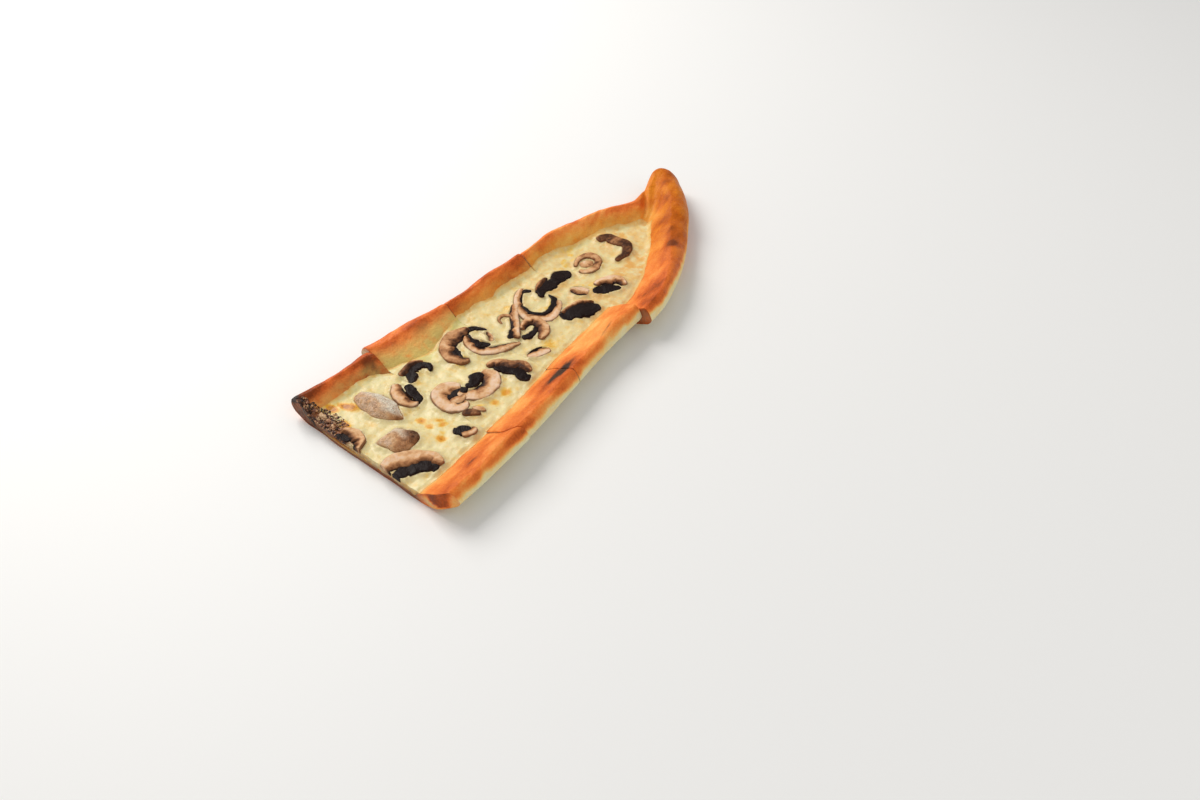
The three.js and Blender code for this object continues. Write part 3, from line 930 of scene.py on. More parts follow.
    def _cap(self, along: Array, v: Array, inside: Array) -> tuple[Array, dict[str, Array]]:
        """Return the height and finish of a piece of cap, round side up and mealy, with painted shade
        towards its end.
        """
        share, across = along / along.max(), v * 14
        top = self.thick * (1 - quarter_round(inside / DOME) ** 0.8)
        top = top + 0.2 * self.grain.at(along, across, 0.0, 1.2)
        top = top + 0.5 * self.grain.at(along, across, 5.0, 6.0)
        patch = 0.35 * self.grain.at(along, across, 2.0, 6.0)
        white = ease(0.9 * v + 0.35 * share + patch, 0.5, 0.95)
        # painted shade: a cap piece is lighter near its start and darker towards its end, where it loses
        # its meal
        dark = (0.15 + self.tone) * ease(share + 0.3 * patch, 1 - 0.9 * self.tone, 1.0)
        dark = dark - 0.6 * self.tone * (1 - ease(share, 0.0, 0.6))
        mealy = ease(inside, 0.1, 1.0) * lerp(0.4, self.white, white) * (1 - np.clip(dark, 0.0, 1.0))
        return top, {"mealy": mealy, "dark": dark, "skin": 0.5 * (1 - ease(inside, 0.0, 0.7))}


@dataclass(frozen=True)
class Mushroom:
    """One mushroom piece of the filling, made of one or more strands."""

    name: str
    strands: tuple[Strand, ...]

    def _side_of_gills(self, strand: Strand) -> float:
        """Return 1 or -1 for the side on which a strand of flesh has its gills, 0 without any."""
        gills = [p[:2] for other in self.strands if other.tissue is GILLS for p in other.line]
        if strand.tissue is not FLESH or not gills:
            return 0.0
        line = np.array(strand.line)[:, :2]
        ahead = np.gradient(line, axis=0)
        to_gills = np.array(gills)[None] - line[:, None]
        turns = ahead[:, None, 0] * to_gills[..., 1] - ahead[:, None, 1] * to_gills[..., 0]
        return float(np.sign(np.sum(turns / np.sum(to_gills**2, axis=2) ** 1.5)))

    @property
    def slices(self) -> list[Strand]:
        """Return the strands, with the flesh sloping down to its gills."""
        return [replace(strand, lean=self._side_of_gills(strand)) for strand in self.strands]

    @property
    def station(self) -> float:
        """Return the station of the piece's middle."""
        points = np.array([p for strand in self.strands for p in strand.line])
        return float(np.mean(points[:, 1] - CUT_SLANT * points[:, 0]))


MUSHROOMS = (
    Mushroom("01", (
        Strand(FLESH, ((-2, 217.5, 5), (2, 223, 8), (10.5, 222, 8), (17, 222, 7), (21, 213.5, 5),
                       (19.5, 204, 3)), 0.82),
    )),
    Mushroom("02", (
        Strand(FLESH, ((1, 187, 2.5), (-1, 195, 3.5), (2, 200.5, 5), (9, 200, 4.5), (12.5, 192.5, 5),
                       (10, 186, 4.5), (5, 184.5, 3)), 0.45),
        Strand(FLESH, ((2, 190, 5), (6, 194, 8), (9, 196, 5)), 0.32, 1.0),
    )),
    Mushroom("03", (
        Strand(FLESH, ((21, 175.5, 2.5), (22.5, 180, 4.5), (27.5, 185, 7), (32, 186.5, 6),
                       (38, 184.5, 2)), 0.15),
        Strand(GILLS, ((24, 169, 3.5), (26.5, 172, 7), (30.5, 177, 6.5), (37, 180.5, 2.5)), 0.3, 2.6),
    )),
    Mushroom("04", (
        Strand(FLESH, ((11, 165.5, 3), (16.5, 167, 6.5), (22, 169, 4)), 0.0, 1.6),
        Strand(GILLS, ((12.5, 166.5, 0.8), (16, 166, 1.8), (19, 166.5, 0.8)), 0.3, 2.2),
    )),
    Mushroom("05", (
        Strand(GILLS, ((3.5, 179, 5), (-1, 175.5, 10), (-1, 167.5, 7), (-2, 161, 9), (-2.5, 155, 6),
                       (1.5, 149.5, 2)), 0.3, 3.4),
        Strand(FLESH, ((-5, 153, 1), (-7.5, 160, 2.5), (-8, 168, 2)), 0.6, 2.6),
    )),
    Mushroom("06", (
        Strand(FLESH, ((-14.5, 152, 2.5), (-12.5, 144.5, 3.5), (-6, 135.5, 4), (2.5, 130.5, 5),
                       (10, 131.5, 5), (15.5, 135.5, 6), (15.5, 144, 5), (12, 152.5, 2.5)), 0.1, 2.2),
        Strand(GILLS, ((-4, 137, 2), (4, 135, 2.5), (10.5, 138, 3), (11.5, 145, 4), (8.5, 151.5, 3.5),
                       (3, 154, 1.5)), 0.3, 2.7),
    )),
    Mushroom("07", (
        Strand(GILLS, ((21.5, 139, 5.5), (23.5, 144, 10.5), (27, 150, 12.5), (31.5, 155, 11),
                       (35, 159.5, 5)), 0.3, 3.2),
        Strand(FLESH, ((19, 143, 1.5), (20, 151, 2.5), (23.5, 157.5, 3), (29.5, 161.5, 1.5)), 0.5, 2.6),
    )),
    Mushroom("08", (
        Strand(FLESH, ((-5, 118.5, 1.5), (-9, 121, 2), (-9, 125, 2.5), (-5, 126.5, 2),
                       (-1.5, 124, 1.5)), 0.45, 1.8),
    )),
    Mushroom("09", (
        Strand(GILLS, ((1, 121, 2), (4, 114.5, 3.5), (7, 109, 3)), 0.3, 2.6),
        Strand(FLESH, ((-8, 136.5, 3.5), (-2.5, 128, 4), (4.5, 119.5, 3.5), (10.5, 111.5, 3)), 0.12, 2.8),
    )),
    Mushroom("10", (
        Strand(FLESH, ((7.5, 119, 2), (6, 125, 4), (9, 130, 6), (16, 128.5, 6), (21, 123, 5),
                       (22, 117, 2.5)), 0.22),
        Strand(GILLS, ((11.5, 113.5, 3), (14.5, 117, 4.5), (15, 122, 3.5), (12.5, 126.5, 1.5)), 0.3, 2.6),
    )),
    Mushroom("11", (
        Strand(FLESH, ((-19.5, 105.5, 3), (-21.5, 96.5, 9.5), (-20, 86.5, 8.5), (-13, 80, 6.5),
                       (-6, 79.5, 5), (-1, 82.5, 3)), 0.4),
        Strand(GILLS, ((-17, 89, 1.5), (-12, 84.5, 4.5), (-4, 81.5, 1.5)), 0.3, 2.6),
        Strand(GILLS, ((-17.5, 96, 2), (-19, 102.5, 4), (-16, 107.5, 4), (-9, 109.5, 1.5)), 0.3, 2.8),
    )),
    Mushroom("12", (
        Strand(FLESH, ((-16, 98.5, 1.5), (-11, 94, 4.5), (-3, 91.5, 5), (3.5, 94.5, 6), (9, 101, 5),
                       (14, 109, 1.5)), 0.2),
        Strand(GILLS, ((-16, 101.5, 1), (-11.5, 98, 3.5), (-5.5, 97.5, 6), (0.5, 100, 2.5)), 0.3, 2.7),
        Strand(FLESH, ((-9, 108.5, 1), (-4.5, 107, 2), (-0.5, 102.5, 2)), 0.32, 1.6),
    )),
    Mushroom("13", (
        Strand(FLESH, ((9, 83.5, 2.5), (11.5, 88, 6), (19, 91, 7), (26, 93.5, 5.5), (33, 91, 2)), 0.5),
        Strand(GILLS, ((13, 84, 2), (21, 85.5, 6), (27, 87.5, 5.5), (32.5, 85, 5.5),
                       (34, 89, 2)), 0.3, 2.8),
    )),
    Mushroom("14", (
        Strand(FLESH, ((10, 79.5, 4), (16, 78.5, 8), (20.5, 71.5, 9), (19.5, 63.5, 9), (14.5, 58.5, 6),
                       (9, 58, 3)), 0.12),
        Strand(GILLS, ((9.5, 64, 2.5), (11.5, 67.5, 5), (10.5, 73, 7.5), (14, 74, 4)), 0.3, 3.0),
    )),
    Mushroom("15", (
        Strand(FLESH, ((7.5, 63, 4), (2.5, 59, 9), (1, 53, 9), (6, 48.5, 7.5), (13, 47.5, 7.5), (18, 50, 6),
                       (17.5, 55.5, 2.5)), 0.1),
        Strand(GILLS, ((7, 50, 1), (8, 55, 5), (9.5, 60, 6.5), (11.5, 64, 2)), 0.3, 3.0),
        Strand(FLESH, ((9.5, 50.5, 3.5), (12.5, 54.5, 6), (14.5, 58, 3)), 0.25, 2.2),
    )),
    Mushroom("16", (
        Strand(FLESH, ((20.5, 46, 2.5), (23.5, 49, 5.5), (29, 51, 2.5)), 0.85, 3.0),
        Strand(FLESH, ((22, 52.5, 2), (26, 54, 3.5), (29.5, 54.5, 2)), 0.1, 2.2),
    )),
    Mushroom("17", (
        Strand(GILLS, ((24.5, 33, 4), (28, 36.5, 7), (31, 40, 3)), 0.3, 3.2),
        Strand(FLESH, ((30.5, 33, 3), (33, 37, 5), (33.5, 41, 2.5)), 0.3, 2.6),
    )),
    Mushroom("18", (
        Strand(GILLS, ((-14.5, 65.5, 1.5), (-18, 68.5, 3.5), (-22.5, 66.5, 5), (-23.5, 61, 6),
                       (-20, 56, 5.5), (-17, 52.5, 3)), 0.3, 3.0),
        Strand(FLESH, ((-26.5, 54, 2.5), (-27, 60, 3.5), (-27, 66, 3), (-23, 70, 2)), 0.6, 2.4),
    )),
    Mushroom("19", (
        Strand(FLESH, ((-24.5, 47.5, 3), (-18.5, 42, 6.5), (-10, 39, 6), (-3.5, 41, 3)), 0.16),
        Strand(GILLS, ((-18.5, 50.5, 4), (-12, 47, 5.5), (-5.5, 44, 3.5), (-4.5, 40.5, 2)), 0.3, 2.9),
    )),
    Mushroom("20", (
        Strand(CAP, ((-36, 31, 6), (-27.5, 30.5, 13), (-15, 29.5, 13.5), (-3.5, 29, 2)), 0.18, 4.2),
    )),
    Mushroom("21", (
        Strand(CAP, ((-3.5, 8, 2.5), (0.5, 12, 12), (4, 15, 18), (7.5, 19, 15),
                     (10.5, 24, 6)), 0.42, 3.6, white=0.74),
    )),
    Mushroom("22", (
        Strand(FLESH, ((10.5, -4.5, 5), (12, 2.5, 9), (19, 10, 8.5), (27.5, 14, 6.5),
                       (34, 13.5, 2)), 0.22, 3.0),
        Strand(GILLS, ((18.5, -6.5, 4), (21, 1.5, 8), (27, 8, 8), (34, 9.5, 4.5)), 0.3, 2.9),
    )),
    Mushroom("23", (
        Strand(FLESH, ((-25, 8, 3.5), (-18, 8.5, 6), (-11, 5.5, 5), (-8, -1, 2)), 0.2, 2.8),
        Strand(GILLS, ((-26, 2, 4), (-21, 4, 5), (-16.5, 4.5, 3)), 0.3, 2.8),
    )),
    Mushroom("24", (
        Strand(FLESH, ((23.5, 101, 2.5), (26, 104.5, 6), (28.5, 108, 6), (31.5, 112.5, 3)), 0.0, 1.6),
        Strand(GILLS, ((22, 105, 0.7), (23.5, 108.5, 1.2), (26, 112, 0.7)), 0.3, 2.0),
    )),
    Mushroom("25", (
        Strand(GILLS, ((-13, 148, 2), (-10.5, 150.5, 3.5), (-7.5, 152.5, 2.5)), 0.3, 2.6),
    )),
)  # fmt: skip


def gap_to(outline: Array, x: Array, y: Array) -> Array:
    """Return each place's distance from an outline, negative inside it."""
    px, py = x[:, None], y[:, None]
    ax, ay = outline.T
    bx, by = np.roll(outline, -1, axis=0).T
    dx, dy = bx - ax, by - ay
    t = np.clip(((px - ax) * dx + (py - ay) * dy) / (dx * dx + dy * dy + 1e-9), 0.0, 1.0)
    distance = np.min(np.hypot(px - ax - t * dx, py - ay - t * dy), axis=1)
    crosses = (ay > py) != (by > py)
    side = px < (bx - ax) * (py - ay) / np.where(by == ay, 1e-9, by - ay) + ax
    inside = np.count_nonzero(crosses & side, axis=1) % 2 == 1
    return np.where(inside, -distance, distance)


def nearest_mushroom(x: Array, y: Array) -> Array:
    """Return each place's distance from the nearest mushroom, up to 9 mm, negative under one."""
    nearest = np.full(x.shape, NEAR_ENOUGH)
    for strand in (strand for piece in MUSHROOMS for strand in piece.slices):
        outline = strand.outline()
        low, high = outline.min(axis=0) - NEAR_ENOUGH, outline.max(axis=0) + NEAR_ENOUGH
        close = (x > low[0]) & (x < high[0]) & (y > low[1]) & (y < high[1])
        if close.any():
            nearest[close] = np.minimum(nearest[close], gap_to(outline, x[close], y[close]))
    return nearest


# ---------------------------------------------------------------- bread and filling


@dataclass(frozen=True)
class Spot:
    """An oval mark on the bread or the cheese: its middle, half width, half length and strength."""

    x: float
    y: float
    across: float
    along: float
    strength: float
    turn: float = 0.0

    def at(self, x: Array, y: Array) -> Array:
        """Return the mark's strength at each place."""
        c, s = math.cos(math.radians(self.turn)), math.sin(math.radians(self.turn))
        a = ((x - self.x) * c + (y - self.y) * s) / self.across
        b = ((y - self.y) * c - (x - self.x) * s) / self.along
        return self.strength * np.exp(-(a * a + b * b))


def marks(spots: Sequence[Spot], x: Array, y: Array) -> Array:
    """Return the strength of several marks together."""
    total = np.zeros(x.shape)
    for spot in spots:
        total = np.maximum(total, spot.at(x, y))
    return total


BURNT_CORNER = Spot(-38, 4.5, 20, 6.5, 1.0, -8)
FOLD = Spot(47, -9, 8.0, 9.0, 1.0)


@dataclass
class SliceLayer:
    """The bread or the cheese of one slice, bent from one fine box."""

    part: SliceSpan
    kind: ClassVar[str]
    slot: ClassVar[str]
    columns: ClassVar[int]
    rows: ClassVar[tuple[int, int]]
    layers: ClassVar[int]
    keys: ClassVar[tuple[str, ...]]

    @property
    def at_tip(self) -> bool:
        """Return whether this is the slice with the closed tip."""
        return self.part.far == TIP

    @property
    def at_near_end(self) -> bool:
        """Return whether this is the slice with the burnt near end."""
        return self.part.near == NEAR_END

    def skin(self, u: Array, v: Array, w: Array) -> Skin:
        """Return the layer's surface and how its finish varies.

        Args:
            u: place across the slice, 0 to 1.
            v: place along it, 0 to 1.
            w: place up it, 0 to 1.
        """
        raise NotImplementedError

    def build(self, material: bpy.types.Material) -> None:
        """Make the layer. The slice with the tip is longer and has more rows of squares."""
        name = f"{self.kind}_{self.part.name}"
        mesh = bmesh.new()
        add_slab(mesh, self.columns, self.rows[self.at_tip], self.layers)
        data = bend_boxes(name, mesh, (self.skin,), self.keys)
        finish_piece(name, data, material, (name,))


@dataclass
class BreadSlice(SliceLayer):
    """The bread of one slice, from its pale underside to its browned rims."""

    left_bake: tuple[float, float] = (0.6, 0.4)
    green: float = 0.3
    golden: float = 0.4
    gap: float = 0.12
    edge_drop: float = 0.5
    edge_round: float = 0.7
    face_depth: float = 0.12
    knob: tuple[float, float] = (256.0, 278.0)
    pale_wall_end: tuple[float, float] = (200.0, 262.0)
    scorched: tuple[Spot, ...] = (
        Spot(51, 92.5, 4.0, 12.0, 0.95, -2),
        Spot(48.6, 18.5, 1.2, 5.0, 0.5, -14),
        Spot(55.3, 132, 1.8, 9.0, 0.45, 4),
        Spot(57, 180, 3.0, 6.0, 0.25, 10),
        Spot(-40, 51, 9.0, 3.0, 0.35, 0),
        Spot(-60, 8, 8.0, 5.0, 0.85, 0),
        Spot(-46, 7, 9.0, 5.5, 0.95, -8),
    )
    browned: tuple[Spot, ...] = (
        Spot(19, 267, 5.0, 6.0, 0.24),
        Spot(26.6, 247.5, 5.0, 6.0, 0.2),
        Spot(47.7, 223.8, 3.0, 4.5, 0.34),
        Spot(12, 283, 3.5, 5.0, 0.2),
        Spot(6, 296, 6.0, 5.0, 0.16),
        Spot(40, 238, 2.6, 6.0, 0.16),
        Spot(56, 180, 5.0, 10.0, 0.2),
        Spot(50, 92.5, 7.0, 20.0, 0.18),
        Spot(-40, 51, 12.0, 6.0, 0.2),
        Spot(-55, 10, 9.0, 8.0, 0.22),
    )

    kind = "dough"
    slot = "crust"
    columns = 170
    rows = (110, 190)
    layers = 6
    keys = ("bake", "gold", "oil", "char", "crumb")

    def skin(self, u: Array, v: Array, w: Array) -> Skin:
        """Return the bread's surface and how baked, oily, scorched or open each place is, with painted
        shade on the near cut face.
        """
        part, d = self.part, DRAWING
        grain = d.grain
        first = part.near + self.gap
        last = part.far if self.at_tip else part.far - self.gap
        s = lerp(first, last, crowd(v, 0.6))
        e = d.edges(part, s)
        x = lerp(e.left, e.right, crowd(u, 0.75))
        y = d.cut_y(s, x)
        ends = s - first if self.at_tip else np.minimum(s - first, last - s)
        drop = self.edge_drop * np.exp(-ends / self.edge_round)
        low = d.bread_bottom(part, x, s) + 0.3 * drop
        z = lerp(low, d.bread_top(part, x, s) - drop, w)
        if self.at_near_end:
            lumps = 0.45 * grain.at(x, s, 60.0, 1.7) + 0.4 * grain.at(x, s, 61.0, 3.6) - 0.4
            z = z + BURNT_CORNER.at(x, y) * w * lumps
        face = np.exp(-ends / self.face_depth)
        near_face = s - first < 2
        torn = 0.16 + 0.07 * grain.layered(x, s * 0, z, 3.2) + 0.05 * grain.at(x, 0 * s, z, 9.0)
        if self.at_near_end:
            torn = torn * np.where(near_face, 2.2, 1.0)
            y = y + 0.7 * grain.at(x, 0 * x, 0.0, 11.0) * np.exp(-np.abs(s - part.near) / 6)
        y = y + np.clip(torn, 0.0, None) * face * np.where(near_face, 1, -1)
        return Skin(x, y, z, self._baking(x, s, y, z, w, face))

    def _rim_colours(self, x: Array, s: Array, z: Array) -> tuple[Array, Array, Array]:
        """Return bake, gold and oil of the upper face.

        Args:
            x: place across the bread.
            s: station along it.
            z: height.
        """
        d = DRAWING
        grain = d.grain
        dl, dr = d.insets(self.part, x, s)
        inset = d.left_cheese_inset.at(s)
        tip, knob = ease(s, *self.pale_wall_end), ease(s, *self.knob)
        wave = 0.9 * grain.at(x * 0, s, 0.0, 9.0) + 0.5 * grain.at(x * 0, s, 4.0, 3.5)
        streak = grain.at(x, s * 0.22, 0.0, 4.2) + 0.5 * grain.at(x, s * 0.3, 9.0, 2.0)
        blotch = grain.at(x, s, 33.0, 15.0)
        pale_below = d.right_ridge.at(s) - lerp(4.6, 9.0, tip) + 1.3 * wave
        right = d.right_bake.at(s) + lerp(0.09, 0.04, tip) * streak + 0.07 * blotch
        right = right - 0.13 * ease(dr, 9, 19)
        above_wall = np.maximum(ease(z, pale_below - 0.5, pale_below + 3.2), ease(dr, 5.0, 8.0))
        right = lerp(0.03, right, above_wall)
        crown, deep = self.left_bake
        inner = ease(dl - 0.4 * inset + 1.2 * wave, 0, 0.45 * inset)
        left = lerp(crown, deep, inner) + 0.11 * streak + 0.07 * blotch
        left = left - 0.08 * ease(s, 200, 235) * inner
        side = ease(dl - dr, -12, 12)
        bake = lerp(lerp(left, right, side), 0.52 + 0.05 * streak + 0.1 * blotch, 0.85 * knob)
        gold = np.maximum(lerp(0.15, 0.95, tip) * side, self.golden * (1 - side) * inner)
        gold = np.maximum(gold, 0.95 * knob)
        slope = ease(dl + wave, lerp(0.55, 0.35, self.green) * inset, 0.9 * inset) * (1 - side)
        return bake, gold, slope * (1 - knob) * lerp(0.2, 0.95, self.green)

    def _baking(
        self, x: Array, s: Array, y: Array, z: Array, w: Array, face: Array
    ) -> dict[str, Array]:
        """Return how baked, golden, oily, scorched and open the bread is at each place, with painted shade
        on the near cut face.

        Args:
            x: place across the bread.
            s: station along it.
            y: place along it.
            z: height.
            w: place up from the underside, 0 to 1.
            face: 1 at the cut faces, fading inwards.
        """
        d = DRAWING
        dl, dr = d.insets(self.part, x, s)
        upper = ease(w, 0.55, 0.9)
        bake, gold, oil = self._rim_colours(x, s, z)
        under = 0.38 + 0.15 * d.grain.at(x, s, 2.0, 14.0)
        right_wall = lerp(0.03, 0.42, ease(s, *self.pale_wall_end))
        low = lerp(under, lerp(0.48, right_wall, ease(dl - dr, -8, 8)), ease(z, 1.0, 4.5))
        bake = lerp(low, bake, upper) + marks(self.browned, x, y) * upper
        char = marks(self.scorched, x, y) * (0.2 + 0.8 * upper)
        crumb = ease(face, 0.25, 0.9)
        if self.at_near_end:
            # painted shade: the near cut face is darkened to deep brown, except towards its right end, and
            # shows less crumb
            shade = face * (1 - ease(x, 28, 44))
            fold = FOLD.at(x, y) * ease(z, 3.0, 6.5) * face
            char = np.maximum(char, 0.42 * face * (1 - ease(x, -42, -18)))
            bake = np.maximum(lerp(bake, 0.88, shade), 0.26 * face)
            bake = lerp(bake, 0.76, ease(fold, 0.3, 0.75))
            crumb = crumb * (1 - 0.8 * shade) * (1 - ease(fold, 0.03, 0.25)) * 0.6
        if self.at_tip:
            overhang = ease(x, 48, 56) * face
            bake, crumb = lerp(bake, 0.74, overhang), crumb * (1 - 0.8 * overhang)
        crumb = crumb * ease(w, 0.02, 0.3) * (1 - ease(w, 0.8, 0.97))
        gold = gold * np.maximum(upper, 0.95 * ease(s, *self.knob))
        return {"bake": bake, "gold": gold, "oil": oil * upper, "char": char, "crumb": crumb}


@dataclass
class CheeseSlice(SliceLayer):
    """The melted cheese of one slice, drawn up around the mushrooms that lie in it."""

    green: float = 0.4
    gap: float = 0.04
    near_gap: float = 0.25
    lip_reach: float = 2.1
    thinnest: float = 0.35
    grain: Grain = Grain(31)
    toasted: tuple[Spot, ...] = (
        Spot(4.2, 33.3, 3.2, 2.1, 1.02),
        Spot(10.5, 31.8, 2.9, 2.0, 0.8),
        Spot(15.8, 36.4, 2.4, 3.0, 0.75),
        Spot(19.5, 31.0, 1.8, 1.6, 0.55),
        Spot(21.5, 27.2, 2.8, 2.2, 1.06),
        Spot(12.6, 38.0, 3.4, 1.7, 0.7, 20),
        Spot(29.6, 72.0, 2.8, 3.2, 0.85),
        Spot(29.1, 62.8, 2.4, 2.4, 0.75),
        Spot(24.0, 56.5, 2.0, 2.0, 0.5),
        Spot(28.4, 116.2, 5.5, 6.0, 0.5),
        Spot(-34.5, 22.5, 6.0, 2.2, 1.6, 8),
        Spot(-41.0, 17.5, 3.6, 2.2, 1.6),
        Spot(-27.0, 11.5, 4.0, 2.2, 1.5, -20),
    )

    kind = "cheese"
    slot = "cheese"
    columns = 150
    rows = (120, 170)
    layers = 3
    keys = ("oil", "toast", "char", "stain", "far", "thin")

    def _pool(self, x: Array, y: Array, s: Array, near: Array) -> Array:
        """Return the cheese's upper face: lumps, the lip round each mushroom and the dip at the cuts.

        Args:
            x: place across the bread.
            y: place along it.
            s: station along it.
            near: distance from the nearest mushroom, negative under one.
        """
        part, grain = self.part, self.grain
        pool = DRAWING.filling_top(part, x, s)
        for depth, layer, size in ((0.34, 1.0, 12.0), (0.34, 2.0, 5.0), (0.16, 3.0, 2.2)):
            pool = pool + depth * grain.at(x, s, layer, size)
        lumps = 0.5 * grain.at(x, s, 60.0, 1.7) + 0.5 * grain.at(x, s, 61.0, 3.6)
        pool = pool + BURNT_CORNER.at(x, y) * lumps
        lip = np.exp(-((np.clip(near, 0.0, None) / self.lip_reach) ** 2))
        lip = lip * (1 + 0.4 * grain.at(x, s, 5.0, 4.0))
        pool = pool + np.where(near < 0, 1.0 - np.clip(-near * 0.9, 0.0, 1.6), lip)
        ends = np.minimum(s - part.near, part.far - s)
        return pool - 0.14 * np.exp(-np.clip(ends, 0.0, None) / 0.6)

    def skin(self, u: Array, v: Array, w: Array) -> Skin:
        """Return the cheese's surface, how toasted and oily each place is, where it darkens round the
        mushrooms, and the painted shade on its near cut face.
        """
        part, d, grain = self.part, DRAWING, self.grain
        first = part.near + (self.near_gap if self.at_near_end else self.gap)
        last = d.cheese_tip + 1.5 if self.at_tip else part.far - self.gap
        s = lerp(first, last, crowd(v, 0.5))
        left, right = d.cheese_edges(part, s)
        left = left + 1.1 * grain.layered(0 * s, s, 0.0, 9.0) - 0.6
        right = right + 0.9 * grain.layered(0 * s, s, 8.0, 8.0) + 0.4
        width = np.maximum(right - left, 0.8)
        x = left + width * crowd(u, 0.5)
        y = d.cut_y(s, x)
        near = nearest_mushroom(x, y)
        rim = np.minimum(u, 1 - u) * width
        if self.at_tip:
            rim = np.minimum(rim, np.clip(last - s, 0.0, None))
        bread = d.bread_top(part, x, s)
        swell = 0.06 + 0.94 * ease(rim + 0.8 * grain.at(x, s, 9.0, 5.0), -0.5, 6.0) ** 0.8
        top = bread + np.maximum(self._pool(x, y, s, near) - bread, self.thinnest) * swell
        z = lerp(bread - 0.4, top, w)
        inward = np.clip(s - first, 0.0, None) if self.at_near_end else np.full(s.shape, np.inf)
        torn = np.exp(-inward / 0.25)
        y = y + torn * np.clip(0.3 + 0.4 * grain.layered(x, 0 * x, z, 2.4), 0.0, None)
        freckles = grain.at(x, s, 21.0, 3.4) * 0.5 + grain.at(x, s, 22.0, 17.0) * 0.6
        # painted shade on the near cut face: golden-brown, and darker brown towards its bottom
        face = np.exp(-inward / 0.3) * (1 - ease(w, 0.4, 0.97))
        # darker round each mushroom
        stain = 0.75 * np.exp(-np.clip(near, 0.0, None) / 1.1)
        older = 0.75 * ease(s, 70, 210) + 0.2 * ease(s, 165, 215)
        thin = 0.9 * (1 - ease(rim + 1.2 * grain.at(x, s, 44.0, 4.0), 0.2, 5.0))
        values = {
            "oil": (1 - ease(u, 0.0, 0.34)) * self.green,
            "toast": np.maximum(marks(self.toasted, x, y), 0.42 * ease(freckles, 0.3, 0.9)),
            "char": 1.15 * BURNT_CORNER.at(x, y) * (1 - 0.35 * torn),
            "stain": np.maximum(stain, 1.2 * face * (1 - ease(w, 0.1, 0.7))),
            "far": older * (0.75 + 0.5 * grain.at(x, s, 40.0, 12.0)),
            "thin": np.maximum(thin, 1.2 * face),
        }
        return Skin(x, y, z, values)


@dataclass
class MushroomLayer:
    """All the mushroom pieces, cut where a knife crossed them, with welded ends."""

    gap: float = 0.2
    weld: float = 0.001
    cap_squares: tuple[int, int] = (120, 60)
    squares_per_point: int = 16
    squares_across: int = 20
    layers: int = 4

    def _trim(self, mesh: bmesh.types.BMesh, station: float, keep_far: bool) -> None:
        """Cut a mesh along a cut of the bread and close it.

        Args:
            mesh: the piece, in metres in the part's frame.
            station: the cut's station, in millimetres.
            keep_far: whether the far side stays.
        """
        cut = bmesh.ops.bisect_plane(
            mesh,
            geom=mesh.verts[:] + mesh.edges[:] + mesh.faces[:],
            dist=1e-7,
            plane_co=Vector((-MIDDLE[0] * MM, (station - MIDDLE[1]) * MM, 0)),
            plane_no=Vector((-CUT_SLANT, 1, 0)).normalized(),
            clear_inner=keep_far,
            clear_outer=not keep_far,
        )
        rim = [item for item in cut["geom_cut"] if isinstance(item, bmesh.types.BMEdge)]
        bmesh.ops.holes_fill(mesh, edges=rim, sides=0)

    def _slices_under(self, piece: Mushroom) -> list[tuple[SliceSpan, str]]:
        """Return the slices whose solids a mushroom piece has, with the solids' names."""
        found = []
        for part in SLICES:
            whole, cut = f"mushroom_{piece.name}", f"mushroom_{piece.name}_slice_{part.name}"
            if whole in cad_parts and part.near <= piece.station < part.far:
                found.append((part, whole))
            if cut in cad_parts:
                found.append((part, cut))
        return found

    def _piece(self, piece: Mushroom, part: SliceSpan, name: str) -> bpy.types.Mesh:
        """Make a mushroom piece, or the length of it that lies on one slice.

        Args:
            piece: the mushroom piece.
            part: the slice that carries it.
            name: the solid's name.

        Returns:
            The mesh.
        """
        mesh = bmesh.new()
        places = []
        for k, strand in enumerate(piece.slices):
            squares = (len(strand.line) * self.squares_per_point, self.squares_across)
            along, across = self.cap_squares if strand.tissue is CAP else squares
            add_slab(mesh, along, across, self.layers, 2.0 * k)
            places.append(partial(strand.skin, part))
        data = bend_boxes(name, mesh, places, ("tone", "skin", "gill", "mealy"))
        mesh = bmesh.new()
        mesh.from_mesh(data)
        bmesh.ops.remove_doubles(mesh, verts=mesh.verts[:], dist=self.weld * MM)
        if "_slice_" in name or part.near == NEAR_END:
            self._trim(mesh, part.near + self.gap / 2, True)
        if "_slice_" in name:
            self._trim(mesh, part.far - self.gap / 2, False)
        bmesh.ops.remove_doubles(mesh, verts=mesh.verts[:], dist=self.weld * MM)
        bmesh.ops.recalc_face_normals(mesh, faces=mesh.faces[:])
        mesh.to_mesh(data)
        mesh.free()
        return data

    def build(self, material: bpy.types.Material) -> None:
        """Make every mushroom piece."""
        for piece in MUSHROOMS:
            for part, name in self._slices_under(piece):
                finish_piece(name, self._piece(piece, part, name), material, (name,))


@dataclass(frozen=True)
class TornBit:
    """A pale bit of torn crust: its middle on the drawing and its length, width and height in mm."""

    x: float
    y: float
    length: float
    width: float
    height: float
    turn: float
    tone: float


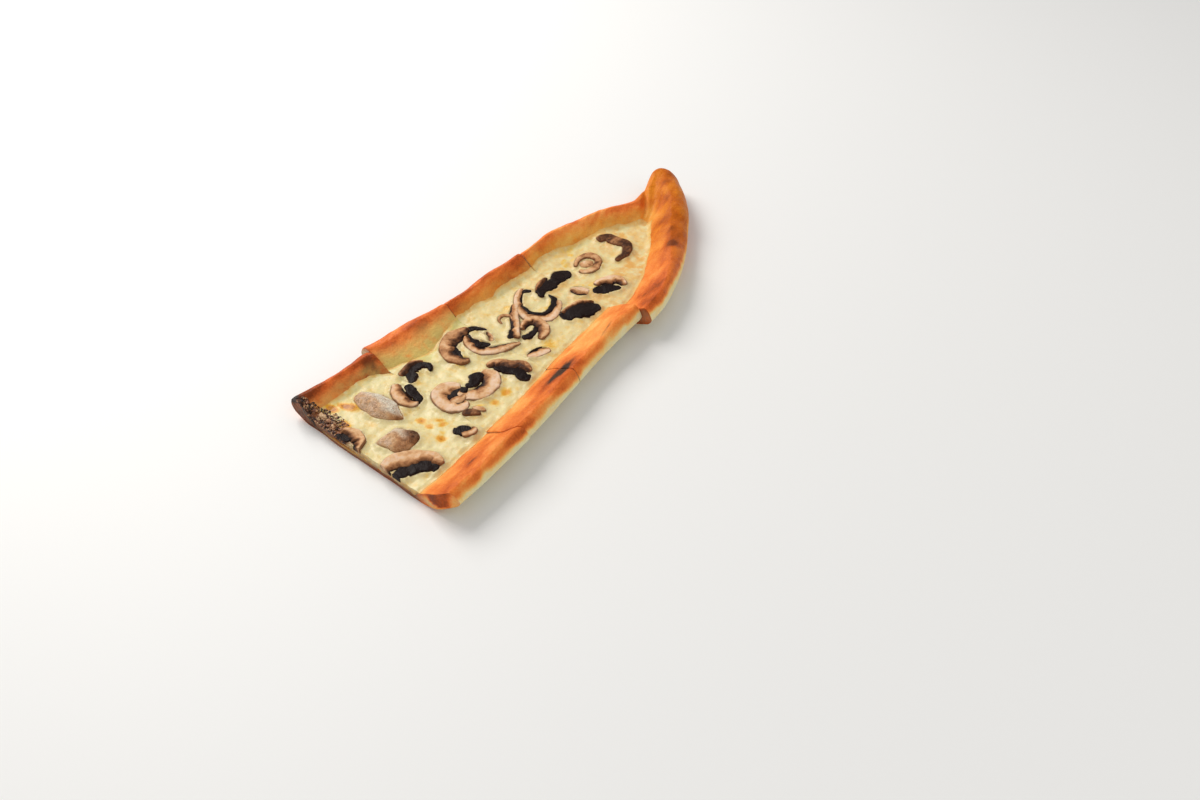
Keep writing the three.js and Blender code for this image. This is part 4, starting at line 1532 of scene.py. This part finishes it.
@dataclass
class BurntCrumbs:
    """Burnt crumbs and pale torn bits at the near left corner."""

    count: int = 1300
    seed: int = 5
    left_end: float = -54.0
    spread: float = 36.0
    smallest: float = 0.22
    size_range: float = 0.46
    bread_only: float = -44.0
    roughness: Grain = Grain(71)
    torn: tuple[TornBit, ...] = (
        TornBit(-41.0, 10.4, 5.4, 3.2, 2.0, -20, 0.80),
        TornBit(-46.0, 10.8, 3.0, 2.0, 1.4, 35, 0.55),
        TornBit(-36.2, 9.4, 3.0, 2.0, 1.4, 15, 0.62),
        TornBit(-31.4, 7.6, 3.4, 1.9, 1.5, -40, 0.76),
        TornBit(-26.4, 8.2, 2.6, 1.9, 1.4, 60, 0.50),
        TornBit(-34.4, 6.6, 2.2, 1.6, 1.2, 10, 0.45),
        TornBit(-50.5, 11.0, 2.6, 1.8, 1.3, 80, 0.40),
        TornBit(-19.4, 4.4, 3.4, 1.7, 1.3, -15, 0.74),
    )

    def _ground(self, x: Array, s: Array) -> Array:
        """Return the height of what the crumbs lie on: bread at the rim, and the filling beside it."""
        part = SLICES[-1]
        bread = DRAWING.bread_top(part, x, s)
        filling = np.maximum(bread, DRAWING.filling_top(part, x, s))
        return np.where(x > self.bread_only, filling, bread)

    def _balls(self, name: str, count: int, subdivisions: int) -> tuple[bpy.types.Mesh, Array]:
        """Make a mesh of equal balls with a radius of one.

        Args:
            name: name of the mesh data.
            count: how many balls.
            subdivisions: how finely each ball is divided.

        Returns:
            The mesh, and the places of its points, ball by ball.
        """
        ball, data = bpy.data.meshes.new("ball"), bpy.data.meshes.new(name)
        mesh = bmesh.new()
        bmesh.ops.create_icosphere(mesh, subdivisions=subdivisions, radius=1.0)
        mesh.to_mesh(ball)
        for _ in range(count - 1):
            mesh.from_mesh(ball)
        mesh.to_mesh(data)
        mesh.free()
        bpy.data.meshes.remove(ball)
        points = np.empty(len(data.vertices) * 3)
        data.vertices.foreach_get("co", points)
        return data, points.reshape(count, -1, 3)

    def _finish(
        self, data: bpy.types.Mesh, points: Array, tones: Array, material: bpy.types.Material
    ) -> None:
        """Put the balls' moved points into their mesh and finish the piece.

        Args:
            data: the mesh of balls.
            points: their points, in millimetres on the drawing.
            tones: how pale each ball is.
            material: the finish.
        """
        places = (points - np.array([*MIDDLE, 0.0])) * MM
        data.vertices.foreach_set("co", places.ravel())
        shades = np.repeat(tones, points.shape[1]).astype(np.float32)
        data.attributes.new("tone", "FLOAT", "POINT").data.foreach_set("value", shades)
        data.update()
        finish_piece(data.name, data, material, sharp=75.0)

    def _crumbs(self, material: bpy.types.Material) -> None:
        """Make the small crumbs."""
        rng = np.random.default_rng(self.seed)
        data, points = self._balls("burnt_crumbs", self.count, 1)
        along = rng.random(self.count)
        hump = np.sin(math.pi * along)
        inward = rng.random(self.count) ** 1.5 * (3.5 + 6.0 * hump + 2.5 * along)
        size = self.smallest + self.size_range * rng.random(self.count) ** 2
        points *= rng.uniform(0.6, 1.3, (self.count, points.shape[1], 1))
        points *= rng.uniform(0.4, 1.6, (self.count, 1, 3)) * size[:, None, None]
        turns = np.exp(1j * rng.uniform(0, math.pi, (self.count, 1)))
        flat = (points[..., 0] + 1j * points[..., 1]) * turns
        x, s = self.left_end + self.spread * along, NEAR_END + 0.15 + inward
        places = np.stack([x, DRAWING.cut_y(s, x), self._ground(x, s) + 0.05], axis=1)
        points = np.stack([flat.real, flat.imag, points[..., 2]], axis=2) + places[:, None, :]
        tones = 0.8 * rng.random(self.count) ** (2.6 - 1.4 * hump)
        self._finish(data, points, tones, material)

    def _torn_bits(self, material: bpy.types.Material) -> None:
        """Make the larger bits, rough as torn crust."""
        data, points = self._balls("torn_bits", len(self.torn), 4)
        for k, bit in enumerate(self.torn):
            x, y, z = (points[k] * (bit.length / 2, bit.width / 2, bit.height / 2)).T
            rough = 1 + 0.3 * self.roughness.at(x, y, z + 20 * k, 1.3)
            rough = rough + 0.16 * self.roughness.at(x, y, z + 20 * k, 0.5)
            flat = (x + 1j * y) * rough * np.exp(1j * math.radians(bit.turn))
            ground = self._ground(np.array(bit.x), np.array(bit.y - CUT_SLANT * bit.x))
            height = ground + 0.25 * bit.height + z * rough
            points[k] = np.stack([bit.x + flat.real, bit.y + flat.imag, height], axis=1)
        self._finish(data, points, np.array([bit.tone for bit in self.torn]), material)

    def build(self, material: bpy.types.Material) -> None:
        """Make the crumbs as one piece and the torn bits as another."""
        self._crumbs(material)
        self._torn_bits(material)


# ---------------------------------------------------------------- studio


@dataclass(frozen=True)
class SoftLight:
    """A square light that faces the bread: its place and size in metres, its watts and its colour."""

    name: str
    place: Triple
    size: float
    power: float
    colour: Colour

    def build(self) -> None:
        """Hang the light."""
        data = bpy.data.lights.new(self.name, "AREA")
        data.size = self.size
        data.energy = self.power
        data.color = self.colour
        light = bpy.data.objects.new(self.name, data)
        light.location = self.place
        light.rotation_euler = (-Vector(self.place)).to_track_quat("-Z", "Y").to_euler()
        bpy.context.scene.collection.objects.link(light)


@dataclass
class Studio:
    """A pale floor, soft light and the camera."""

    camera_place: Triple = (0.27309, -0.38441, 0.34712)
    camera_turn: Triple = (0.84497, 0.02222, 0.5336)
    lens: float = 30.0
    sensor: float = 36.0
    sky: float = 0.46
    floor_size: float = 6.0
    floor_drop: float = 0.0002
    floor_colour: Colour = (0.86, 0.86, 0.85)
    lights: tuple[SoftLight, ...] = (
        SoftLight("window", (-1.0, 0.25, 0.95), 0.8, 17.0, (1.0, 0.97, 0.93)),
        SoftLight("fill", (1.1, -0.3, 0.8), 1.2, 3.5, (1.0, 0.99, 0.97)),
    )

    def _floor(self) -> None:
        """Lay the floor."""
        mesh = bmesh.new()
        bmesh.ops.create_grid(mesh, x_segments=1, y_segments=1, size=self.floor_size)
        data = bpy.data.meshes.new("floor")
        mesh.to_mesh(data)
        mesh.free()
        r = Recipe("pale_floor")
        data.materials.append(r.dress(Base_Color=self.floor_colour, Roughness=0.6))
        floor = bpy.data.objects.new("floor", data)
        floor.location.z = -self.floor_drop
        bpy.context.scene.collection.objects.link(floor)

    def _sky(self) -> None:
        """Light the scene evenly from all round."""
        world = bpy.data.worlds.new("studio")
        world.use_nodes = True
        background = world.node_tree.nodes["Background"]
        background.inputs["Color"].default_value = (1.0, 1.0, 1.0, 1.0)
        background.inputs["Strength"].default_value = self.sky
        bpy.context.scene.world = world
        bpy.context.scene.view_settings.view_transform = "Standard"

    def _camera(self) -> None:
        """Place the camera."""
        data = bpy.data.cameras.new("camera")
        data.lens = self.lens
        data.sensor_width = self.sensor
        camera = bpy.data.objects.new("camera", data)
        camera.location = self.camera_place
        camera.rotation_euler = Euler(self.camera_turn)
        bpy.context.scene.collection.objects.link(camera)
        bpy.context.scene.camera = camera

    def build(self) -> None:
        """Set up floor, lights and camera."""
        self._floor()
        for light in self.lights:
            light.build()
        self._sky()
        self._camera()


def main() -> None:
    """Build the pide, piece by piece, and the studio around it."""
    logging.basicConfig(level=logging.INFO, format="%(name)s: %(message)s")
    crust = BakedCrust().material()
    cheese = MeltedCheese().material()
    mushroom = CookedMushroom().material()
    # how brown the left rim's crown and its inner wall are, how oily it is and how golden
    rims = {
        "1": ((0.5, 0.42), 0.2, 0.9),
        "2": ((0.62, 0.53), 0.1, 0.7),
        "3": ((0.57, 0.34), 1.0, 0.2),
        "4": ((0.64, 0.60), 0.4, 0.3),
    }
    for part in SLICES:
        baked, green, golden = rims[part.name]
        BreadSlice(part, baked, green, golden).build(crust)
        CheeseSlice(part, 0.8 * green).build(cheese)
    MushroomLayer().build(mushroom)
    BurntCrumbs().build(BurntCrumb().material())
    Studio().build()


if __name__ == "__main__":
    main()
